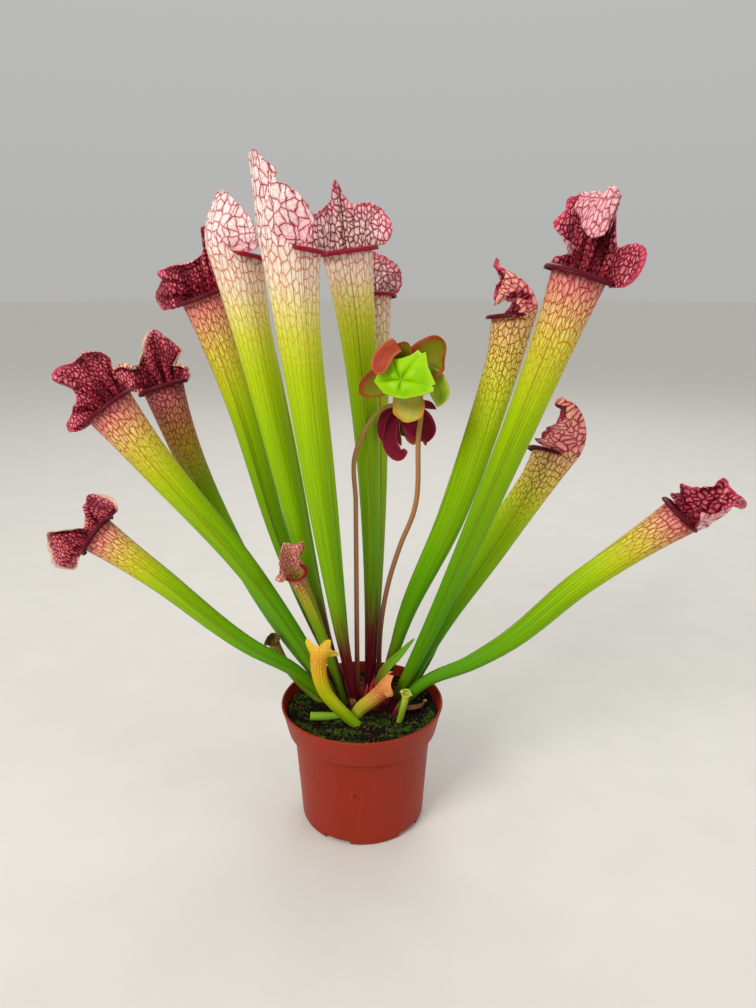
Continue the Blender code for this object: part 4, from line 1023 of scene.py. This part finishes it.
# Specks on the pot: most lie at random, and three larger ones on its front.
CHANCE_SPECKS, FRONT_TURNS, FRONT_RISES, FRONT_SIZES = 34, (-95, -92, -72), (44, 42, 66), (2.2, 1.8, 1.4)
speck_turn = np.append(rng.uniform(0, TAU, CHANCE_SPECKS), np.radians(FRONT_TURNS))
speck_rise = np.append(rng.uniform(8, 88, CHANCE_SPECKS), FRONT_RISES)
speck_out = np.interp(speck_rise, (0, 2.2, 70.2, 71.1, 72.2, 90.6), (45, 46.2, 50.8, 54.3, 55.2, 59.5))
speck_places = np.stack([speck_out * np.cos(speck_turn), speck_out * np.sin(speck_turn), speck_rise], -1)
speck_sizes = np.append(np.ones(CHANCE_SPECKS), FRONT_SIZES)[:, None]
specks = len(speck_turn)
keep(scatter("peat_specks", STONE, STONE_FACES, speck_places, tumble(specks),
             rng.uniform(0.25, 0.6, (specks, 3)) * speck_sizes,
             speckled("dry_peat", "0c0806", "2c2018", 0.9)), "peat")
print(sum(len(piece.data.polygons) for piece in crumbs) // len(STONE_FACES), "crumbs and fibres,",
      specks, "specks on the pot")

# %% [markdown]
# The hood's inner face bears stiff hairs that point down and lead insects into the tube. Each is a
# three-sided spike. The hood's own function gives their places: two neighbouring points of it show
# which way is across and which way is up, and so which way is out.

# %% Set hairs in the hoods
HAIRS = 300         # on each hood
SPIKE = read_points("0.5 0 0, -0.25 0.43 0, -0.25 -0.43 0, 0 0 1")
SPIKE_FACES = [(0, 1, 3), (1, 2, 3), (2, 0, 3), (0, 2, 1)]


def hair_roots(leaf):
    """Random places on the hood's inner face, and the way that a hair points there."""
    grid = hood_places(leaf, np.linspace(-0.94, 0.94, 95), np.linspace(0.2, 0.9, 70))[0]
    to_side, to_top = unit(np.gradient(grid, axis=1)), unit(np.gradient(grid, axis=0))
    picked = rng.choice(grid.shape[0] * grid.shape[1], HAIRS, replace=False)
    here, to_side, to_top = (values.reshape(-1, 3)[picked] for values in (grid, to_side, to_top))
    out = unit(np.cross(to_top, to_side))
    return here + out * 0.1, unit(out * 0.8 - to_top * 0.7)


hair_places, ways = (np.concatenate(values) for values in zip(*(hair_roots(leaf) for leaf in LEAVES)))
first = unit(np.cross(ways, (0.3, 0.2, 0.9)))
hair_sizes = rng.uniform(0.8, 1.7, (len(ways), 1)) * (0.09, 0.09, 1.0)
hair_turns = turned_axes(first, np.cross(ways, first), ways)
keep(scatter("hood_hairs", SPIKE, SPIKE_FACES, hair_places, hair_turns, hair_sizes,
             speckled("hair", "e8c8c0", "fff4ec", 0.5)), "pale_trumpet")
print(len(ways), "hairs")

# %% [markdown]
# The crown is the knobbly stem that everything grows from. New leaves start there as red spikes,
# and the remains of old ones stay as papery scales. A lumpy ball carries small bent cones, and
# straps that stand round it like a torn collar. The same strap serves for petals later.

# %% Grow the crown
def round_places(route, radii, share, facets, faces=(0.3, -1, 0.2)):
    """Rings of points round a route."""
    centre, _, front, side = frames(route, faces, share)
    radius = np.interp(share, *np.transpose(radii))[:, None, None]
    turn = np.linspace(-np.pi, np.pi, facets + 1)[None, :, None]
    return centre - radius * np.cos(turn) * front + radius * np.sin(turn) * side


def capped(places):
    """Rings with both ends drawn together to a point."""
    first, last = (np.repeat(ring[:-1].mean(0)[None], len(ring), 0) for ring in (places[0], places[-1]))
    return np.concatenate(([first], places, [last]))


def ball(facets, rows):
    """Rings of points round a ball whose radius is one."""
    tip = np.linspace(-TAU / 4, TAU / 4, rows)
    return turned_places(np.stack((np.cos(tip), np.sin(tip)), -1), facets)


def lumpy(places, size, lumps, swells):
    """Move points outward from the middle to a size, and out or in by soft lumps."""
    for point in places.reshape(-1, 3):
        point *= size + lumps * noise.noise(Vector(point) * swells)
    return places


def strap(name, route, faces, width, finish, foot=0.9, tip=0.2, cup=0.7, wave=0.03, rows=26, columns=15):
    """A curved strap of soft tissue, mapped by its nearness to the margin and to the midrib."""
    share = np.linspace(0, 1, rows)
    centre, _, front, side = frames(route, faces, share)
    shape = through([0, 0.3, 0.62, 0.88, 1], [[foot], [0.9], [1.0], [0.72], [tip]], share)[..., None]
    half = width / 2 * shape
    across = np.linspace(-1, 1, columns)[None, :, None]
    waved = wave * width * np.sin(11 * share[:, None, None] + 2 * across) * across ** 2
    places = centre + half * across * side - (cup * half * (1 - across ** 2) - waved) * front
    edge = np.maximum(np.abs(across[..., 0]), np.clip((share[:, None] - 0.82) / 0.18, 0, 1))
    maps = {"tissue": np.stack((edge, 1 - np.abs(across[..., 0]) + 0 * edge), -1)}
    return thicken(surface(name, places, finish, maps), 0.6, 0.0)


crown_red = speckled("crown_skin", "1c0808", "5c2418", 0.7, 220.0)
knob = lumpy(ball(72, 36), 1 - 0.14 / 3, 0.14, 3.1) * (23, 26, 7.4) + (3, 19, 79.6)
keep(surface("crown", knob, crown_red), "crown_skin", "rhizome")

# Each bud: x, y, how tall it is, and how far it leans.
BUDS = read_points("2 10 17 2, 5 9 21 3, 8 12 15 1, 11 8 12 4, -1 14 13 -2, 13 13 18 3, 9 20 20 0, "
                   "-5 17 11 -3, 15 4 9 5, 4 4 8 1")
BUD_RADII = read_points("0 1.7, 0.35 1.9, 0.8 1, 1 0.15")
bud_red = speckled("bud_skin", "8a1420", "c43444", 0.4, 120.0)
for number, (x, y, tall, lean) in enumerate(BUDS):
    route = [(x, y, 83), (x + lean * 0.4, y, 83 + tall * 0.5), (x + lean, y - 0.5, 83 + tall)]
    rings = round_places(route, BUD_RADII, np.linspace(0, 1, 14), 14)
    keep(surface(f"bud_{number}", capped(rings), bud_red), "crown_skin")

SCALES = 11
papery = speckled("papery_scale", "4a2414", "a87048", 0.75, 260.0)
for number in range(SCALES):
    out, up = outward(2.4 * number), np.array((0, 0, 8 + 3 * (number % 3)))
    foot = np.array((2, 17, 83)) + out * (15, 17, 0)
    route = [foot, foot + out * 3 + up * 0.6, foot + out * 4.5 + up]
    keep(strap(f"scale_{number}", route, -out, 7, papery, wave=0.06), "crown_skin")
print("crown with", len(BUDS), "red buds and", SCALES, "scales")

# %% [markdown]
# Flower stalks are thin, solid and round, and bow over at the top. They swell where the flower sits
# and are rosy brown with a green side.

# %% Raise the flower stalks
STALKS = {      # name: route, and radii at shares of its length
    "flower_front_stem": (
        "14 36 77, 19 31 170, 28 26 204, 38 21 233, 40 12 290, 41 8 311, 38 3 322, 33 -4 327, 27 -12 331",
        "0 2, .9 1.8, .945 1.8, .96 4.4, .972 4.2, .985 1.4, 1 1.4"),
    "flower_rear_stem": (
        "-4 15 77, -4 12 242, -4 13 277, 1 14 290, 8 17 301, 16 21 308, 24 26 309, 29 29 305, "
        "31 30 298, 31 31 288",
        "0 1.9, .9 1.6, .955 1.6, .968 3.1, .985 3, 1 1.2")}


def stalk_finish():
    finish = Finish("flower_stalk", 0.12)
    place = finish.place()
    streak = place.noise((900, 900, 30))
    height = place.part(2) * 3.0
    finish.colour = finish.ramp(height, ".24 6a1424, .36 84403e, .5 a06652, .85 b07c50, 1 8f9f2a")
    finish.lay(streak * 0.3, "9a8040")
    return finish.wear(streak * 0.2 + 0.3, streak, 0.2, 0.0002)


stalk_skin = stalk_finish()
for name, (route, radii) in STALKS.items():
    radii = read_points(radii)
    share = np.unique(np.append(np.linspace(0, 1, 90), [place for place, _ in radii]).round(4))
    rings = capped(round_places(read_points(route), radii, share, 18))
    keep(surface(name + "_fine", rings, stalk_skin), "flower_stalk", name)
print(len(STALKS), "flower stalks")

# %% [markdown]
# A spent pitcher flower shows a green umbrella, the end of its style, with five creases that run to
# forked tips, and leathery sepals behind it. The umbrella is one sheet inside a drawn outline,
# swept back at its rim, with a boss in its middle and a crease to each tip.

# %% Open the umbrella
def petal_finish(name, middle, rim, rib, gloss=0.4, margin=0.82, soft=0.2):
    """Soft tissue: its own tone, a coloured margin that may be soft, and a coloured rib."""
    finish = Finish(name, 0.15)
    edge, ribbed = (finish.map("tissue").part(axis) for axis in (0, 1))
    cloud, grain = (finish.place().noise(scale) for scale in (110.0, 900.0))
    finish.colour = finish.mix(cloud.smooth(0.4, 0.75, 0.0, 0.6), middle, rib)
    finish.lay(ribbed.smooth(0.86, 1.0, 0.0, 0.6), rib)
    finish.lay((edge + cloud * soft).smooth(margin, margin + soft), rim)
    return finish.wear(grain * 0.2 + (gloss - 0.1), grain, 0.25)


TIPS = np.radians([58, -8, -92, -175, 118])      # where the umbrella's creases run
UMBRELLA = read_points("9.2 20.1, 12 17.7, 14.3 19, 17.1 9.2, 22.9 -1.7, 20.5 -2.6, 22.1 -4.5, 21.7 -6.6, "
                       "15.3 -9.4, 3.4 -12.4, -3.8 -11.4, -11.2 -9.2, -18.5 -1.6, -15.8 4.4, -9.7 10.3, "
                       "-9 15.9, -6.8 13.2, -1.6 13.6, 5.2 16.3")
FLOWER_FACES = (-0.3, -0.9, 0.28)                # the way that the flowers look


def umbrella_places(middle, axis, rings=20, between=8):
    """Points of the umbrella, and its map."""
    corners, knots = np.array(UMBRELLA + UMBRELLA[:1]), np.arange(len(UMBRELLA) + 1)
    at = np.linspace(0, len(UMBRELLA), len(UMBRELLA) * between + 1)
    outline = np.stack([np.interp(at, knots, values) for values in corners.T], -1)
    turn = np.arctan2(outline[:, 1], outline[:, 0])
    off = np.abs((turn[:, None] - TIPS + np.pi) % TAU - np.pi).min(axis=1)[None, :]
    crease = np.exp(-(off / 0.16) ** 2)
    right = unit(np.cross(axis, (0, 0, 1)))
    right = right * np.sign(right[0])
    above = np.cross(right, axis)
    above = above * np.sign(above[2])
    rise = np.linspace(0, 1, rings)[:, None]
    reach = np.linalg.norm(outline, axis=1)[None, :] * rise
    back = (2.6 * (reach / 20) ** 2 + 0.7 * crease * np.sin(np.pi * rise) + 2.2 * np.exp(-(reach / 4) ** 2)
            - 2.0 * np.sin(np.pi * rise ** 0.8) * np.sin(np.clip(off, 0, 0.5) * np.pi))
    flat = outline[None] * rise[..., None]
    places = middle + flat[..., :1] * right + flat[..., 1:] * above - back[..., None] * axis
    return places, np.stack((rise + 0 * crease, crease + 0 * rise), -1)


style_green = petal_finish("style_umbrella", "94c800", "aad42c", "6cae00", 0.42, 0.94)
places, tissue = umbrella_places(np.array((26.4, -12.8, 331.4)), unit(np.array(FLOWER_FACES)))
umbrella = surface("flower_front_umbrella_fine", places, style_green, {"tissue": tissue})
keep(thicken(umbrella, 0.7, 0.0), "flower_umbrella", "flower_front_umbrella")
print("umbrella of", len(umbrella.data.polygons), "faces")

# %% [markdown]
# The other flower still has maroon petals, which hang round its seed case. Sepals and petals are
# straps like the scales of the crown, each on its own route. They dry from the rim inward, so their
# margins wear another tone.

# %% Hang sepals and petals
olive = petal_finish("sepal_olive", "7c8414", "a43c20", "8c6c1c", 0.5, 0.72, 0.6)
lime = petal_finish("sepal_lime", "90b020", "b4b04c", "7c981c", 0.5, 0.85, 0.5)
cream = petal_finish("sepal_cream", "b4b450", "cc8830", "d4bc48", 0.5, 0.8, 0.5)
wine = petal_finish("petal_wine", "7c1028", "8c2040", "500818", 0.65)
rust = petal_finish("petal_rust", "a44428", "cc7048", "8c2420", 0.5, 0.8, 0.4)
STRAPS = [      # name, route, width, finish, foot, tip, cup
    ("sepal_lower", "34 -4 328, 32 -2 319, 32 -4 311, 30 -8 303", 22, cream, 1.0, 0.16, 0.35),
    ("sepal_upper_right", "34 -4 327, 37 -3 334, 43 -2 342, 50 -4 349, 53 -9 352",
     27, olive, 0.5, 0.45, 0.5),
    ("sepal_upper_left", "33 -4 327, 31 -3 333, 29 -1 339, 29 -3 346, 31 -8 349",
     22, olive, 0.5, 0.5, 0.5),
    ("sepal_fold", "24 -5 353, 17 -9 348, 13.5 -13 342, 12.4 -15 335", 13, rust, 0.9, 0.3, -0.3),
    ("sepal_left", "32 -4 327, 23 -3 331, 15 -3 330, 7 -6 325, 3 -10 321", 20, olive, 0.5, 0.4, 0.4),
    ("sepal_right", "35 -4 327, 40 -3 333, 47 -3 332, 52 -5 325, 51 -8 313", 13, lime, 0.5, 0.05, 0.4),
    ("petal_strap", "29 29 301, 23 27 304, 20 20 293, 21 17 281, 26 14 276, 31 9 280",
     11, wine, 0.45, 0.35, 0.4),
    ("petal_left", "29 29 302, 22 27 306, 16 22 302, 14 20 295, 15 20 285", 6, wine, 0.45, 0.2, 0.3),
    ("petal_right", "28 30 302, 34 24 301, 41 20 295, 44 20 284", 22, wine, 0.6, 0.25, 0.4),
    ("petal_thin", "29 30 301, 25 25 294, 26 24 288, 28 22 281", 4, rust, 0.45, 0.2, 0.3),
    ("petal_tongue", "29 31 302, 33 28 291, 38 26 281", 8, rust, 0.45, 0.2, 0.3),
    ("petal_point", "30 32 303, 36 37 305, 44 40 308, 54 42 304", 6, wine, 0.45, 0.05, 0.3),
    ("dried_anthers", "31 30 297, 38 28 292, 44 27 286, 46 27 280", 4, rust, 0.6, 0.2, 0.5),
]
# Two of them stand for the solids of all.
SOLIDS = {"sepal_lower": ["flower_front_sepals"], "petal_strap": ["flower_rear_petals"]}
for name, route, *form in STRAPS:
    slot = "flower_sepal" if name.startswith("sepal") else "flower_petal"
    keep(strap(name, read_points(route), FLOWER_FACES, *form), slot, *SOLIDS.get(name, []))
seed_green = speckled("seed_case", "24400c", "4c6c1c", 0.5, 300.0)
seeds = lumpy(ball(32, 16), 1 - 0.1 / 3, 0.1, 3.1) * (4.6, 4.6, 5.0) + (30.5, 30.8, 291)
keep(surface("seed_case", seeds, seed_green), "flower_stalk")
print(len(STRAPS), "sepals and petals")

# %% [markdown]
# Two leaves have no trumpet: flat blades with a shallow keel. A third was cut off, and its hollow
# green base lies on the peat.

# %% Add the flat leaves and the cut one
BLADES = {      # name: route, way that it faces, width
    "leaf_blade_upright": ("11 17 77, 15 17 104, 29 16 122, 39 16 134", (-0.5, -1, 0.3), 7.0),
    "leaf_blade_broad": ("31 20 77, 40 20 98, 49 20 113, 57 20 126", (-0.6, -1, 0.5), 8.0)}
BLADE_ROWS, BLADE_COLUMNS = 34, 13


def blade_finish(name, base, tip, line):
    finish = Finish(name, 0.12)
    flat = finish.map("flat")
    lines = flat.noise((2.2, 0.04, 0))
    finish.colour = finish.mix(flat.part(1).smooth(0.0, 45.0), base, tip)
    finish.lay(lines.smooth(0.45, 0.7) * 0.6, line)
    return finish.wear(lines * 0.2 + 0.3, lines)


blade_skin = blade_finish("blade_skin", "8a3a24", "6ca81c", "3f7a10")
share, across = np.linspace(0, 1, BLADE_ROWS), np.linspace(-1, 1, BLADE_COLUMNS)[None, :, None]
for name, (route, faces, width) in BLADES.items():
    centre, _, front, side = frames(read_points(route), faces, share)
    half = (width / 2 * np.sin(np.pi * np.linspace(0.16, 0.985, BLADE_ROWS)) ** 0.7)[:, None, None]
    places = centre + half * across * side - 0.35 * half * (1 - np.abs(across) ** 1.4) * front
    flat = np.stack(((half * across)[..., 0], np.repeat(share[:, None] * 60, BLADE_COLUMNS, 1)), -1)
    blade = surface(name + "_fine", places, blade_skin, {"flat": flat})
    keep(thicken(blade, 0.7, 0.0), "green_leaf", name)

share = np.linspace(0, 1, 24)
stub_places = round_places(read_points("-14 -11 85.1, -26 -12 85.1, -38 -13 85.7"),
                           read_points("0 1.2, .1 2.4, .6 3.1, 1 3.2"), share, 28)
flat = np.stack(np.meshgrid(np.linspace(-9, 9, 29), 20 + share * 25), -1)
stub_skin = blade_finish("cut_base_skin", "7aa82a", "8ab030", "4c8014")
stub = surface("cut_leaf_base", stub_places, stub_skin, {"flat": flat})
keep(thicken(stub, 0.6), "green_leaf", "leaf_stub")
print("two blades and a cut base")

# %% [markdown]
# A scrap of bark and one grain of slow feed lie on the peat. The scrap is a curled slip with torn
# ends, and the grain a slightly squashed bead with a waxy coat.

# %% Lay the bark and the grain
along_x, along_y = np.meshgrid(np.linspace(-1, 1, 28), np.linspace(-1, 1, 14))
torn = 1 + 0.1 * np.sin(7 * along_y + 2) + 0.06 * np.sin(17 * along_y)
lift = 1.6 * along_x ** 2 + 0.7 * along_y * along_x + 0.15 * np.sin(9 * along_y + 3 * along_x)
bark_x, bark_y = 39 + 7 * along_x * torn + 2 * along_y, 3 + 3.5 * along_y + 2 * along_x
bark_places = np.stack([bark_x, bark_y, 84 + lift], -1)


def bark_finish():
    finish = Finish("bark", 0.5)
    fibre = finish.place().noise((120, 900, 400), 4.0)
    finish.colour = finish.mix(fibre.smooth(0.3, 0.7), "5c2c14", "b87444")
    return finish.wear(fibre * 0.2 + 0.65, fibre, 0.6, 0.0005)


keep(thicken(surface("bark_slip", bark_places, bark_finish()), 0.8), "bark", "bark_scrap")
low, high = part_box("fertiliser_grain")
middle = np.array((low + high) / 2 / MM)
feed_coat = speckled("feed_coat", "d09a08", "f4c828", 0.4, 700.0)
bead = lumpy(ball(32, 17) * (1, 1, 0.94), 1.6, 0.1, 2.5) + middle
keep(surface("feed_grain", bead, feed_coat), "fertiliser", "fertiliser_grain")
print("bark at", bark_places.mean((0, 1)).round(), "and grain at", middle.round())
